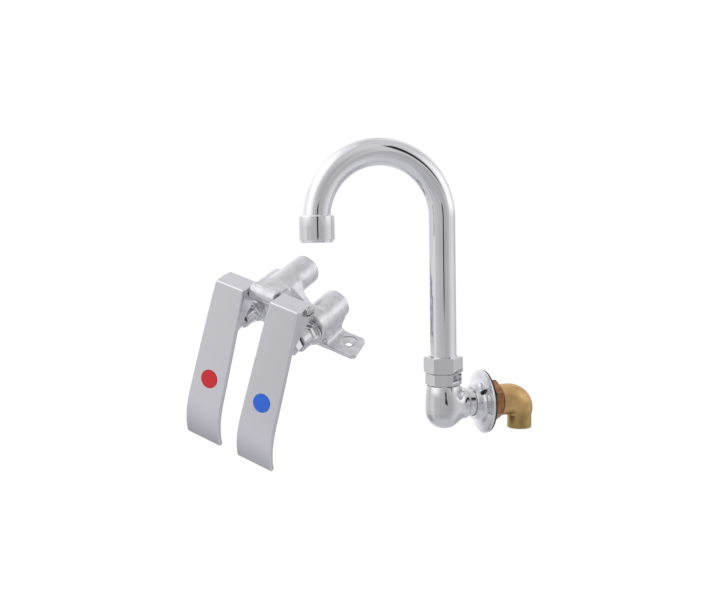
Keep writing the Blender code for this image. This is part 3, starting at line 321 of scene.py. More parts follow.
def shade(mesh, sharp_degrees):
    """Smooth shading, with edges sharper than the angle kept."""
    mesh.shade_smooth()
    mesh.set_sharp_from_angle(angle=math.radians(sharp_degrees))


def new_mesh(name, points, faces):
    mesh = bpy.data.meshes.new(name)
    mesh.from_pydata(points, [], faces)
    return mesh


def add_object(name, data):
    item = bpy.data.objects.new(name, data)
    bpy.context.scene.collection.objects.link(item)
    return item


def put(name, mesh, material, place=Matrix()):
    """An object from the mesh, with its material, moved to its place in the part."""
    mesh.transform(place)
    mesh.materials.clear()
    mesh.materials.append(material)
    return add_object(name, mesh)


def formed(name, field, low, high, step, material, place=Matrix(), cuts=()):
    """A rounded solid from a distance field within a box, with sharp bores cut into it.

    Faces that lie on the field are shaded by its slope, and the bores by their own faces.
    """
    points, quads = surface_of(field, low, high, step)
    mesh = new_mesh(name, points.tolist(), quads.tolist())
    mesh.validate()
    mesh = cut_away(mesh, cuts)
    mesh.name = name
    shade(mesh, 38.0)
    centres = np.array([tuple(p.center) for p in mesh.polygons])
    fitting = np.abs(field(*centres.T)) < step * 0.3
    spots = np.zeros(len(mesh.vertices) * 3)
    mesh.vertices.foreach_get("co", spots)
    slope = gradient(field, spots.reshape(-1, 3))
    slope /= np.maximum(np.linalg.norm(slope, axis=1, keepdims=True), 1e-9)
    loop_vertex = np.zeros(len(mesh.loops), np.int32)
    mesh.loops.foreach_get("vertex_index", loop_vertex)
    sizes = np.array([p.loop_total for p in mesh.polygons])
    keep = fitting.repeat(sizes)
    normals = np.where(keep[:, None], slope[loop_vertex], 0.0)
    mesh.normals_split_custom_set(normals.tolist())
    return put(name, mesh, material, place)


def cut_away(mesh, cutters):
    """The mesh less each cutter mesh, with exact booleans."""
    block = add_object("block", mesh)
    tools = [add_object("tool", cutter) for cutter in cutters]
    for tool in tools:
        step = block.modifiers.new("cut", "BOOLEAN")
        step.operation = "DIFFERENCE"
        step.object = tool
    bpy.context.view_layer.update()
    result = bpy.data.meshes.new_from_object(
        block.evaluated_get(bpy.context.evaluated_depsgraph_get()))
    for spare in tools + [block]:
        bpy.data.objects.remove(spare, do_unlink=True)
    return result


def ring_faces(rows, segments, closed):
    """Quads between rings of points; a closed skin joins the last ring to the first."""
    faces = []
    for row in range(rows if closed else rows - 1):
        after = (row + 1) % rows
        for i in range(segments):
            j = (i + 1) % segments
            faces.append((row * segments + i, row * segments + j,
                          after * segments + j, after * segments + i))
    return faces


def turned_mesh(profile, segments=96, closed=True, axis_place=Matrix()):
    """A solid of revolution about Z from (radius, height) points, with quads all round."""
    angles = np.arange(segments) * 2 * math.pi / segments
    points = []
    for radius, height in profile:
        ring = np.stack([radius * np.cos(angles), radius * np.sin(angles),
                         np.full(segments, height)], 1)
        points.append(ring)
    rows = len(profile)
    faces = ring_faces(rows, segments, closed)
    if not closed:
        faces.append(tuple(range(segments))[::-1])
        faces.append(tuple((rows - 1) * segments + i for i in range(segments)))
    mesh = new_mesh("turned", np.concatenate(points).tolist(), faces)
    face_out(mesh)
    mesh.transform(axis_place)
    return mesh


def face_out(mesh):
    """Turn the faces outward when the closed mesh has a negative volume."""
    mesh.calc_loop_triangles()
    spots = np.array([tuple(v.co) for v in mesh.vertices])
    corners = np.array([tuple(t.vertices) for t in mesh.loop_triangles])
    a, b, c = spots[corners[:, 0]], spots[corners[:, 1]], spots[corners[:, 2]]
    if np.einsum("ij,ij->i", a, np.cross(b, c)).sum() < 0:
        mesh.flip_normals()


def rounded(profile, radius):
    """The closed profile with each corner that turns clearly replaced by a small arc."""
    steps = 5
    result = []
    for i, point in enumerate(profile):
        here = Vector(point)
        before = Vector(profile[i - 1]) - here
        after = Vector(profile[(i + 1) % len(profile)]) - here
        angle = before.angle(after)
        if angle > math.radians(165.0):
            result.append(point)
            continue
        reach = min(radius / math.tan(angle / 2), before.length * 0.45, after.length * 0.45)
        start = here + before.normalized() * reach
        end = here + after.normalized() * reach
        for step in range(steps + 1):
            t = step / steps
            spot = start * (1 - t) ** 2 + here * (2 * t * (1 - t)) + end * t * t
            result.append(tuple(spot))
    return result


def turned(name, profile, material, place, segments=96, closed=True, cuts=()):
    """A turned piece; an open profile is closed by flat ends."""
    mesh = turned_mesh(profile, segments, closed)
    if cuts:
        mesh = cut_away(mesh, cuts)
    mesh.name = name
    shade(mesh, 32.0)
    piece = put(name, mesh, material, place)
    if cuts:
        even = piece.modifiers.new("even_shading", "WEIGHTED_NORMAL")
        even.keep_sharp = True
    return piece


def plug(radius, low, high, axis_place=Matrix()):
    """A plain cylinder, used to cut a bore."""
    return turned_mesh([(radius, low), (radius, high)], 72, False, axis_place)


# ---- materials ----
def new_material(name):
    material = bpy.data.materials.new(name)
    material.use_nodes = True
    tree = material.node_tree
    return material, tree, tree.nodes["Principled BSDF"]


def feed(node, inputs):
    """Give inputs of a node their values, or link them to the sockets given."""
    for name, value in inputs.items():
        if isinstance(value, bpy.types.NodeSocket):
            node.id_data.links.new(value, node.inputs[name])
        else:
            node.inputs[name].default_value = value


def add_node(tree, kind, inputs, **settings):
    node = tree.nodes.new("ShaderNode" + kind)
    for name, value in settings.items():
        setattr(node, name, value)
    feed(node, inputs)
    return node


def noise(tree, scale, detail=3.0, roughness=0.5):
    """A noise texture in the part's own coordinates."""
    place = add_node(tree, "TexCoord", {}).outputs["Object"]
    return add_node(tree, "TexNoise", {"Scale": scale, "Detail": detail, "Roughness": roughness,
                                       "Vector": place}).outputs["Fac"]


def ramp(tree, source, stops):
    """A colour ramp; each stop is a place and a colour or a grey."""
    node = add_node(tree, "ValToRGB", {"Fac": source})
    elements = node.color_ramp.elements
    while len(elements) < len(stops):
        elements.new(0.5)
    for element, (place, colour) in zip(elements, stops):
        element.position = place
        if isinstance(colour, float):
            colour = (colour, colour, colour)
        element.color = (*colour, 1.0)
    return node.outputs["Color"]


def bump(tree, height, strength, distance):
    return add_node(tree, "Bump", {"Strength": strength, "Distance": distance,
                                   "Height": height}).outputs["Normal"]


def metal(name, light, dark, rough, grain, grain_height, patch):
    """Metal with soft patches of tone, a roughness that varies, and a fine grain."""
    material, tree, shader = new_material(name)
    tone = noise(tree, patch, 4.0)
    wear = noise(tree, patch * 6.0, 5.0, 0.6)
    feed(shader, {"Metallic": 1.0, "Base Color": ramp(tree, tone, [(0.30, dark), (0.62, light)]),
                  "Roughness": ramp(tree, wear, [(0.30, rough[0]), (0.72, rough[1])])})
    if grain:
        feed(shader, {"Normal": bump(tree, noise(tree, grain, 2.0), 0.6, grain_height)})
    return material


def paint_light_by_height(material, low, high, cool, warm):
    """Paint light into a metal by height: darker and greener at the low level, paler at the high
    one, as light from above falls.
    """
    tree = material.node_tree
    shader = tree.nodes["Principled BSDF"]
    source = shader.inputs["Base Color"].links[0].from_socket
    place = add_node(tree, "TexCoord", {}).outputs["Object"]
    height = add_node(tree, "SeparateXYZ", {0: place}).outputs["Z"]
    share = add_node(tree, "MapRange", {"From Min": low, "From Max": high, "Value": height})
    tint = ramp(tree, share.outputs["Result"], [(0.0, cool), (1.0, warm)])
    mix = add_node(tree, "Mix", {"Factor": 1.0, "A": source, "B": tint}, data_type="RGBA",
                   blend_type="MULTIPLY")
    feed(shader, {"Base Color": mix.outputs["Result"]})


def coloured(name, light, dark, rough):
    """Rubber, plastic or enamel with a soft change of tone and a fine grain."""
    material, tree, shader = new_material(name)
    tone = noise(tree, 60.0, 4.0)
    wear = noise(tree, 300.0)
    feed(shader, {"Base Color": ramp(tree, tone, [(0.32, dark), (0.66, light)]),
                  "Roughness": ramp(tree, wear, [(0.3, rough[0]), (0.7, rough[1])]),
                  "Normal": bump(tree, noise(tree, 600.0, 2.0), 0.5, 0.00003)})
    return material


CHROME = metal("polished_chrome", (0.83, 0.83, 0.845), (0.79, 0.79, 0.81), (0.025, 0.06),
               90.0, 0.00002, patch=30.0)
CAST_CHROME = metal("cast_chrome", (0.78, 0.775, 0.80), (0.65, 0.645, 0.67), (0.24, 0.38),
                    190.0, 0.00022, patch=150.0)
# A darker, rougher copy of the chrome for the bonnets and packing nuts: painted shade, as they sit
# in the shadow between and under the pedals.
SHADED_CHROME = metal("shaded_chrome", (0.70, 0.70, 0.72), (0.58, 0.58, 0.60), (0.10, 0.24),
                    200.0, 0.00008, patch=160.0)
# Near-black steel for the flange's set screw, so that its hole reads dark: painted shade in the
# recess.
HOLE_SHADE_STEEL = metal("hole_shade_steel", (0.10, 0.11, 0.14), (0.06, 0.065, 0.08), (0.25, 0.40),
                   500.0, 0.00003, patch=80.0)
POLISHED = metal("polished_casting", (0.755, 0.755, 0.77), (0.70, 0.70, 0.72), (0.03, 0.10),
                 70.0, 0.00005, patch=30.0)
SATIN = metal("satin_chrome", (0.75, 0.745, 0.775), (0.73, 0.725, 0.755), (0.17, 0.25),
              0.0, 0.0, patch=14.0)
BRASS = metal("cast_brass", (0.78, 0.55, 0.27), (0.58, 0.39, 0.17), (0.33, 0.46),
              300.0, 0.00012, patch=110.0)
# The brass elbow is painted lighter at its top and darker down its leg: painted light from above.
paint_light_by_height(BRASS, -0.022, 0.012, (0.66, 0.66, 0.52), (1.0, 0.92, 0.86))
COPPER = metal("copper_brass", (0.46, 0.23, 0.11), (0.24, 0.11, 0.05), (0.22, 0.40),
               500.0, 0.00008, patch=130.0)
STEEL = metal("stainless_steel", (0.66, 0.66, 0.67), (0.56, 0.56, 0.57), (0.16, 0.30),
              700.0, 0.00003, patch=60.0)
RUBBER = coloured("black_rubber", (0.022, 0.020, 0.022), (0.012, 0.011, 0.012), (0.5, 0.7))
NYLON = coloured("white_nylon", (0.80, 0.78, 0.73), (0.72, 0.70, 0.66), (0.38, 0.50))
RED = coloured("red_marker", (0.56, 0.006, 0.012), (0.47, 0.004, 0.009), (0.34, 0.44))
BLUE = coloured("blue_marker", (0.012, 0.120, 0.62), (0.008, 0.095, 0.53), (0.34, 0.44))

# The CAD nodes that nothing stands for show themselves, steel unless they are named here.
FINISHES = {"upper_o_ring": RUBBER, "lower_o_ring": RUBBER, "flange_gasket": RUBBER,
            "outlet_screen_washer": RUBBER, "packing": RUBBER, "seat_washer": RUBBER,
            "flange_set_screw": HOLE_SHADE_STEEL, "thrust_washer": NYLON, "swivel_sleeve": BRASS,
            "seat": BRASS}
for name, node in nodes.items():
    kind = name.removeprefix("hot_").removeprefix("cold_")
    node.data.materials.clear()
    node.data.materials.append(FINISHES.get(kind, STEEL))


# ---- spout ----
def tube_ring(centre, angle, radius, segments):
    """A ring of points round the tube's middle line, tilted by its angle along the arch."""
    tilt = Matrix.Rotation(angle, 3, "X")
    points = []
    for i in range(segments):
        around = 2 * math.pi * i / segments
        points.append(centre + tilt @ Vector((radius * math.cos(around),
                                              radius * math.sin(around), 0.0)))
    return points


def gooseneck():
    """The bent tube, with rounded ends, as one closed skin."""
    segments = 96
    riser_steps = 9
    arch_steps = 96
    lip = 0.0003
    bore = TUBE_RADIUS - TUBE_WALL
    path = []
    for i in range(riser_steps):
        height = TUBE_FOOT_Z + (ARCH_CENTRE_Z - TUBE_FOOT_Z) * i / riser_steps
        path.append((Vector((0.0, 0.0, height)), 0.0))
    for i in range(arch_steps + 1):
        angle = math.pi * i / arch_steps
        path.append((Vector((0.0, ARCH_RADIUS * (math.cos(angle) - 1.0),
                             ARCH_CENTRE_Z + ARCH_RADIUS * math.sin(angle))), angle))
    path.append((Vector((0.0, -2 * ARCH_RADIUS, TUBE_END_Z)), math.pi))
    foot = path[0][0]
    end, turn = path[-1]
    rise = Vector((0.0, 0.0, lip))
    rows = [tube_ring(foot, 0.0, TUBE_RADIUS - lip, segments),
            tube_ring(foot + rise, 0.0, TUBE_RADIUS, segments)]
    rows += [tube_ring(centre, angle, TUBE_RADIUS, segments) for centre, angle in path[1:-1]]
    rows.append(tube_ring(end + rise, turn, TUBE_RADIUS, segments))
    rows.append(tube_ring(end, turn, TUBE_RADIUS - lip, segments))
    rows += [tube_ring(centre, angle, bore, segments) for centre, angle in path[::-1]]
    points = [tuple(RISER + point) for row in rows for point in row]
    mesh = new_mesh("gooseneck", points, ring_faces(len(rows), segments, True))
    face_out(mesh)
    shade(mesh, 40.0)
    return put("gooseneck", mesh, CHROME)


def standing(piece, body, node, slot):
    """A piece that stands for a CAD node."""
    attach(piece, body)
    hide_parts(node)


standing(gooseneck(), "spout", "gooseneck_tube", "polished_chrome")

collar_bore = TUBE_RADIUS + GAP
collar_mouth = collar_bore + 0.0005
collar_mouth_low = COLLAR_HIGH - 0.0030
lip_radius = SCREEN_RADIUS - 0.0016
recess_radius = SCREEN_RADIUS + GAP
screen_low = COLLAR_LOW + 0.0062
recess_low = screen_low - GAP
recess_high = screen_low + SCREEN_THICKNESS + SCREEN_WASHER_THICKNESS + 2 * GAP
seat_radius = 0.0096
collar = turned("collar", rounded([
    # Outside, downwards from the mouth, with an undercut above the lower lip.
    (collar_mouth, COLLAR_HIGH), (collar_mouth + 0.0003, COLLAR_HIGH),
    (COLLAR_RADIUS - 0.0011, COLLAR_HIGH - 0.0003), (COLLAR_RADIUS, COLLAR_HIGH - 0.0013),
    (COLLAR_RADIUS, COLLAR_LOW + 0.0022), (COLLAR_RADIUS - 0.0010, COLLAR_LOW + 0.0014),
    (COLLAR_RADIUS - 0.0011, COLLAR_LOW + 0.0009), (COLLAR_RADIUS - 0.0006, COLLAR_LOW + 0.0006),
    (COLLAR_RADIUS - 0.0012, COLLAR_LOW),
    # Inside, upwards: lip, recess of the screen and its washer, seat and bore of the tube.
    (lip_radius, COLLAR_LOW), (lip_radius, recess_low), (recess_radius, recess_low),
    (recess_radius, recess_high), (seat_radius, recess_high), (seat_radius, TUBE_END_Z - GAP),
    (collar_bore, TUBE_END_Z - GAP), (collar_bore, collar_mouth_low),
], 0.0004), CHROME, Matrix.Translation(OUTLET))
standing(collar, "spout", "outlet_collar", "polished_chrome")


def nut_field(corner, low, high, turn, top_cut, low_cut, edge=0.0006):
    """A hexagon along Z whose corners can be turned off by a cone at each end."""
    cone_slope = 0.5
    cone_scale = cone_slope / math.hypot(1.0, cone_slope)
    cone_start = corner * 0.90

    def field(x, y, z):
        shape = smooth_max(hexagon(x, y, corner, turn), slab(z, low, high), edge)
        across = np.hypot(x, y)
        for is_cut, beyond in ((top_cut, z - high), (low_cut, low - z)):
            if is_cut:
                cone = (across - cone_start + beyond / cone_slope) * cone_scale
                shape = smooth_max(shape, cone, edge)
        return shape
    return field


RISER_PLACE = Matrix.Translation(RISER)
nut_reach = NUT_CORNER + 0.0006
nut_seat_radius = SPIGOT_RADIUS + GAP
nut_seat_top = 0.0380
nut_mouth_radius = TUBE_RADIUS + GAP
swivel_nut = formed(
    "swivel_nut", nut_field(NUT_CORNER, NUT_LOW, NUT_HIGH, HEX_TURN, True, True),
    (-nut_reach, -nut_reach, NUT_LOW - 0.0006), (nut_reach, nut_reach, NUT_HIGH + 0.0006),
    0.00035, POLISHED, RISER_PLACE,
    cuts=[turned_mesh([(nut_seat_radius, NUT_LOW - 0.0010), (nut_seat_radius, nut_seat_top),
                       (nut_mouth_radius, nut_seat_top), (nut_mouth_radius, NUT_HIGH + 0.0010)],
                      closed=False)])
standing(swivel_nut, "fixed_parts", "swivel_nut", "polished_chrome")


def adapter_field(x, y, z):
    """The hex collar between the body's mouth and the swivel nut, with a spigot for each."""
    hexed = nut_field(HEX_CORNER, HEX_LOW, HEX_HIGH, HEX_TURN, False, True)(x, y, z)
    across = np.hypot(x, y)
    lower = cylinder(across, z, LOWER_SPIGOT_RADIUS, SPIGOT_LOW, 0.0200, 0.0005)
    upper = cylinder(across, z, SPIGOT_RADIUS, 0.0200, SPIGOT_HIGH, 0.0005)
    return np.minimum(hexed, np.minimum(lower, upper))


def adapter_bore():
    """The bore, with a groove for each O-ring, as a profile from below to above."""
    bore = TUBE_RADIUS + GAP
    groove = bore + 2 * O_RING_WIRE + 0.00015
    groove_half = 0.0010
    points = [(bore, SPIGOT_LOW - 0.0010)]
    for height in O_RING_HEIGHTS:
        low, high = height - groove_half, height + groove_half
        points += [(bore, low), (groove, low), (groove, high), (bore, high)]
    return points + [(bore, SPIGOT_HIGH + 0.0010)]


adapter_reach = HEX_CORNER + 0.0006
adapter = formed("adapter", adapter_field, (-adapter_reach, -adapter_reach, 0.0040),
                 (adapter_reach, adapter_reach, 0.0336), 0.0004, POLISHED, RISER_PLACE,
                 cuts=[turned_mesh(adapter_bore(), closed=False)])
standing(adapter, "fixed_parts", "hex_adapter", "polished_chrome")


def body_field(x, y, z):
    """Ball body and neck; the origin is on the riser's axis, on the shank's level."""
    across = np.hypot(x, y)
    bowl = np.sqrt(across ** 2 + (z - BALL_Z) ** 2) - BALL_RADIUS
    rise = np.clip((z - BALL_Z) / (BODY_TOP_Z - BALL_Z), 0.0, 1.2)
    shoulder = BALL_RADIUS - 0.0017 * rise ** 2.2
    barrel = smooth_max(across - shoulder, slab(z, BALL_Z, BODY_TOP_Z), 0.0006)
    ball = np.where(z < BALL_Z, bowl, barrel)
    reach = np.hypot(x, z)
    ring = cylinder(reach, y, NECK_RING_RADIUS, 0.0, NECK_RING_END, 0.0012)
    neck = cylinder(reach, y, NECK_RADIUS, 0.0, NECK_END, 0.0006)
    return smooth_min(ball, smooth_min(ring, neck, 0.0010), 0.0042)


mouth_radius = LOWER_SPIGOT_RADIUS + GAP
waterway_radius = 0.0068
shank_socket_radius = SHANK_RADIUS + GAP
body_chamber = turned_mesh([
    (0.0080, -0.0085), (CHAMBER_RADIUS, -0.0042), (CHAMBER_RADIUS, 0.0039), (mouth_radius, 0.0039),
    (mouth_radius, 0.0180)], closed=False)
body_waterway = turned_mesh([
    (waterway_radius, 0.0), (waterway_radius, 0.0230), (shank_socket_radius, 0.0230),
    (shank_socket_radius, 0.0360)], closed=False, axis_place=TURN_Y)
body_piece = formed("spout_body", body_field, (-0.0165, -0.0165, -0.0205),
                    (0.0165, 0.0348, 0.0168), 0.00045, POLISHED, RISER_PLACE,
                    cuts=[body_chamber, body_waterway])
standing(body_piece, "fixed_parts", "spout_body", "polished_chrome")


def smoothed(points, rounds=2):
    """Corner cutting on an open run of points, which keeps both ends."""
    for _ in range(rounds):
        fine = [points[0]]
        for (ax, ay), (bx, by) in zip(points, points[1:]):
            fine.append((ax * 0.75 + bx * 0.25, ay * 0.75 + by * 0.25))
            fine.append((ax * 0.25 + bx * 0.75, ay * 0.25 + by * 0.75))
        fine.append(points[-1])
        points = fine
    return points


flange_bore = NECK_RADIUS + GAP
# The dome from the hub's front edge to the rim, as (radius, distance in front of the back).
DOME = [(0.0137, 0.0096), (0.0142, 0.0091), (0.0145, 0.0070), (0.0152, 0.0052), (0.0165, 0.0038),
        (0.0186, 0.00300), (0.0211, 0.00245), (0.0236, 0.00190), (0.0255, 0.00140),
        (0.0264, 0.00095), (FLANGE_RADIUS, 0.00045), (0.0266, 0.00005)]
flange_profile = [(flange_bore, FLANGE_BACK - DOME[0][1])]
flange_profile += smoothed([(radius, FLANGE_BACK - front) for radius, front in DOME])
flange_profile += [(0.0249, FLANGE_BACK), (0.0192, FLANGE_BACK - 0.0008),
                   (flange_bore, FLANGE_BACK - 0.0008)]
set_screw_turn = Matrix.Rotation(math.radians(52.0), 4, "Y")
set_screw_hole = plug(
    0.0022, flange_bore - 0.0006, FLANGE_RADIUS,
    TURN_Y.inverted() @ at(0.0, FLANGE_BACK - 0.0047, 0.0) @ set_screw_turn)
flange = turned("flange", flange_profile, POLISHED, TURN_Y, cuts=[set_screw_hole], segments=128)
standing(flange, "fixed_parts", "wall_flange", "polished_chrome")

locknut_reach = LOCKNUT_CORNER + 0.0005
locknut = formed(
    "locknut", nut_field(LOCKNUT_CORNER, LOCKNUT_FRONT, LOCKNUT_REAR, math.radians(-30.0),
                         True, False),
    (-locknut_reach, -locknut_reach, LOCKNUT_FRONT - 0.0006),
    (locknut_reach, locknut_reach, LOCKNUT_REAR + 0.0006), 0.00035, COPPER, TURN_Y,
    cuts=[plug(SHANK_RADIUS + GAP, LOCKNUT_FRONT - 0.0018, LOCKNUT_REAR + 0.0012)])
standing(locknut, "fixed_parts", "locknut", "copper_brass")


def elbow_field(x, y, z):
    """Socket along Y, a bend whose section shrinks, and the leg straight down."""
    inner_gap = 0.0006
    pivot_y = ELBOW_LEG_Y - ELBOW_LEG_RADIUS - inner_gap
    pivot_z = -ELBOW_SOCKET_RADIUS - inner_gap
    ry, rz = y - pivot_y, z - pivot_z
    angle = np.clip(np.arctan2(ry, rz) / (math.pi / 2), 0.0, 1.0)
    radius = ELBOW_SOCKET_RADIUS + (ELBOW_LEG_RADIUS - ELBOW_SOCKET_RADIUS) * angle ** 2
    bend = np.hypot(x, np.hypot(ry, rz) - radius - inner_gap) - radius
    barrel = np.hypot(x, z) - ELBOW_SOCKET_RADIUS
    leg = np.hypot(x, y - ELBOW_LEG_Y) - ELBOW_LEG_RADIUS
    shape = np.where(y < pivot_y, barrel, np.where(z < pivot_z, leg, bend))
    ends = np.maximum(ELBOW_FRONT - y, ELBOW_LEG_END_Z - z)
    return smooth_max(shape, ends, 0.0008)


elbow = formed(
    "elbow", elbow_field, (-0.0136, 0.0125, -0.0255), (0.0136, 0.0446, 0.0136), 0.0005, BRASS,
    cuts=[plug(0.0080, -0.0272, -0.0100, at(0.0, ELBOW_LEG_Y, 0.0)),
          plug(SHANK_RADIUS + GAP, 0.0120, 0.0216, TURN_Y)])
standing(elbow, "fixed_parts", "inlet_elbow", "cast_brass")


def thread_profile():
    """The shank's bore and outside, with ring-shaped ridges where the thread shows."""
    points = [(SHANK_BORE, SHANK_FRONT), (SHANK_RADIUS - 0.0002, SHANK_FRONT),
              (SHANK_RADIUS, SHANK_FRONT + 0.0002), (SHANK_RADIUS, 0.0002)]
    height = 0.0004
    while height < 0.0128:
        points += [(THREAD_ROOT, height), (SHANK_RADIUS, height + THREAD_PITCH * 0.42),
                   (SHANK_RADIUS, height + THREAD_PITCH * 0.56)]
        height += THREAD_PITCH
    return points + [(THREAD_ROOT, height), (THREAD_ROOT, SHANK_REAR), (SHANK_BORE, SHANK_REAR)]


shank = turned("shank", thread_profile(), COPPER, TURN_Y)
standing(shank, "fixed_parts", "threaded_shank", "copper_brass")


# ---- valve casting ----
def web_points():
    """The web from the outlet barrel down to an inlet barrel, as a polygon of (x, z)."""
    start = Vector((0.0, OUTLET_AXIS_Z))
    end = Vector((BARREL_PITCH, INLET_AXIS_Z))
    along = (end - start).normalized()
    above = Vector((-along.y, along.x))
    top = above * 0.0114
    low = above * -0.0060
    near = start + along * BARREL_RADIUS * 0.3
    far = start + along * ((end - start).length - BARREL_RADIUS * 0.1)
    return [tuple(near + top), tuple(far + top), tuple(far + low), tuple(near + low)]


# Outlines of the casting's flat parts: the ear from above (x, y), the foot that carries it from
# the front (x, z), and the arm to the hinge pin from the side (y, z).
WEB = web_points()
EAR = [(0.0100, 0.0292), (0.0708, 0.0280), (0.0738, 0.0310), (0.0699, 0.0536), (0.0669, 0.0566),
       (0.0100, 0.0566)]
FOOT = [(EAR_INNER_X, -0.0550), (0.0450, -0.0550), (0.0450, EAR_TOP_Z), (0.0437, -0.0465),
        (0.0400, STEM_AXIS_Z), (EAR_INNER_X, STEM_AXIS_Z)]
ARM = [(0.0, KNUCKLE_RADIUS), (0.0165, 0.0040), (0.0165, -0.0200), (0.0, -KNUCKLE_RADIUS),
       (-0.0040, 0.0)]


def casting_field(x, y, z):
    """Barrels, webs, ears and the arm to the pin, blended as a casting is."""
    side = np.abs(x)
    outlet = cylinder(np.hypot(x, z - OUTLET_AXIS_Z), y, BARREL_RADIUS, OUTLET_FRONT,
                      OUTLET_REAR, 0.0014)
    from_chamber = np.hypot(side - BARREL_PITCH, z - np.clip(z, STEM_AXIS_Z, INLET_AXIS_Z))
    from_inlet = np.hypot(side - BARREL_PITCH, z - INLET_AXIS_Z)
    chamber = cylinder(from_chamber, y, INLET_RADIUS, INLET_FRONT, CHAMBER_REAR, 0.0014)
    inlet = cylinder(from_inlet, y, INLET_RADIUS, INLET_FRONT, INLET_REAR, 0.0014)
    barrels = smooth_min(chamber, inlet, 0.0010)
    web = smooth_max(polygon(side, z, WEB), slab(y, 0.0243, 0.0333), 0.0032)
    foot = smooth_max(polygon(side, z, FOOT), slab(y, 0.0300, 0.0563), 0.0014)
    ear = smooth_max(polygon(side, y, EAR), slab(z, EAR_BASE_Z, EAR_TOP_Z), 0.0014)
    ear = smooth_max(ear, EAR_INNER_X - side, 0.0010)
    knuckle = cylinder(np.hypot(y, z), x, KNUCKLE_RADIUS, -KNUCKLE_HALF_WIDTH,
                       KNUCKLE_HALF_WIDTH, 0.0010)
    arm_half_width = 0.0112 + 0.0016 * np.clip(y / 0.016, 0.0, 1.0)
    arm = smooth_max(polygon(y, z, ARM), side - arm_half_width, 0.0016)
    shape = smooth_min(outlet, web, 0.0080)
    shape = smooth_min(shape, barrels, 0.0064)
    shape = smooth_min(shape, smooth_min(foot, ear, 0.0034), 0.0040)
    return smooth_min(shape, smooth_min(knuckle, arm, 0.0016), 0.0030)


def countersink(side):
    """The screw hole of an ear, widened at its top for the screw's head."""
    x, y = SCREW_HOLE
    return turned_mesh([
        (SCREW_HOLE_RADIUS, EAR_BASE_Z - 0.001), (SCREW_HOLE_RADIUS, EAR_TOP_Z - 0.0026),
        (0.0070, EAR_TOP_Z - 0.0010), (COUNTERSINK_RADIUS, EAR_TOP_Z - 0.0008),
        (COUNTERSINK_RADIUS, EAR_TOP_Z + 0.002)], 72, False, at(side * x, y, 0.0))


def barrel_bore(radius, front, rear, x, z):
    """A cutter along Y at a barrel's axis."""
    return plug(radius, front, rear, at(x, 0.0, z) @ TURN_Y)


casting_cuts = [
    barrel_bore(SOCKET_RADIUS, 0.0190, 0.0660, 0.0, OUTLET_AXIS_Z),
    plug(PIN_HOLE_RADIUS, -0.0150, 0.0150, TURN_X),
]
for _, side in SIDES:
    middle = side * BARREL_PITCH
    casting_cuts.append(countersink(side))
    casting_cuts.append(barrel_bore(SOCKET_RADIUS, 0.0597, 0.0700, middle, INLET_AXIS_Z))
    casting_cuts.append(barrel_bore(VALVE_BORE_RADIUS, 0.0220, 0.0570, middle, STEM_AXIS_Z))
casting = formed("casting", casting_field, (-0.0752, -0.0076, -0.0582), (0.0752, 0.0682, 0.0076),
                 0.0007, CAST_CHROME, VALVE, cuts=casting_cuts)
standing(casting, "fixed_parts", "valve_casting", "cast_chrome")


# ---- pedals ----
# The blade hangs from the front edge of the top plate: straight and leaning back, then curved
# until its end leans the other way.
LEAN = math.radians(22.0)
END_LEAN = math.radians(-10.0)
STRAIGHT = 0.1050
CURVE = 0.0460
FRONT_Y = -0.0138
TOP_Z = 0.0062
PLATE = 0.0038
TOP_SLOPE = math.radians(6.2)
TOP_DEPTH = 0.0209


def blade_point(run):
    """Point (y, z) and lean on the blade's front at a distance down from its top edge."""
    straight = min(run, STRAIGHT)
    y = FRONT_Y - straight * math.sin(LEAN)
    z = TOP_Z - straight * math.cos(LEAN)
    lean = LEAN
    if run > STRAIGHT:
        radius = CURVE / (LEAN - END_LEAN)
        lean = LEAN - (run - STRAIGHT) / radius
        y += radius * (math.cos(LEAN) - math.cos(lean))
        z -= radius * (math.sin(LEAN) - math.sin(lean))
    return y, z, lean


def pedal_line():
    """Middle line of the bent plate, from the top plate's rear to the blade's foot."""
    half = PLATE / 2
    bend = (math.pi / 2 - LEAN + TOP_SLOPE) / 2
    along_y, along_z = math.cos(TOP_SLOPE), -math.sin(TOP_SLOPE)
    line = []
    for depth in (TOP_DEPTH - half, half * math.tan(bend)):
        line.append((FRONT_Y + depth * along_y + half * along_z,
                     TOP_Z + depth * along_z - half * along_y))
    steps = 24
    for i in range(steps + 1):
        y, z, lean = blade_point(STRAIGHT + (CURVE + half) * i / steps)
        line.append((y + half * math.cos(lean), z - half * math.sin(lean)))
    return line


PEDAL_LINE = pedal_line()
GUSSET_FOOT_Z = -0.0340
GUSSET_THICKNESS = 0.0026
GUSSET_OUTER = 0.0140
foot_run = (TOP_Z - GUSSET_FOOT_Z) / math.cos(LEAN)
foot_y = blade_point(foot_run)[0] + 0.0026
GUSSET = [(FRONT_Y + 0.0030, TOP_Z - 0.0024), (0.0068, TOP_Z - 0.0038), (0.0068, -0.0085),
          (0.0028, -0.0125), (foot_y + 0.0015, GUSSET_FOOT_Z), (foot_y, GUSSET_FOOT_Z)]


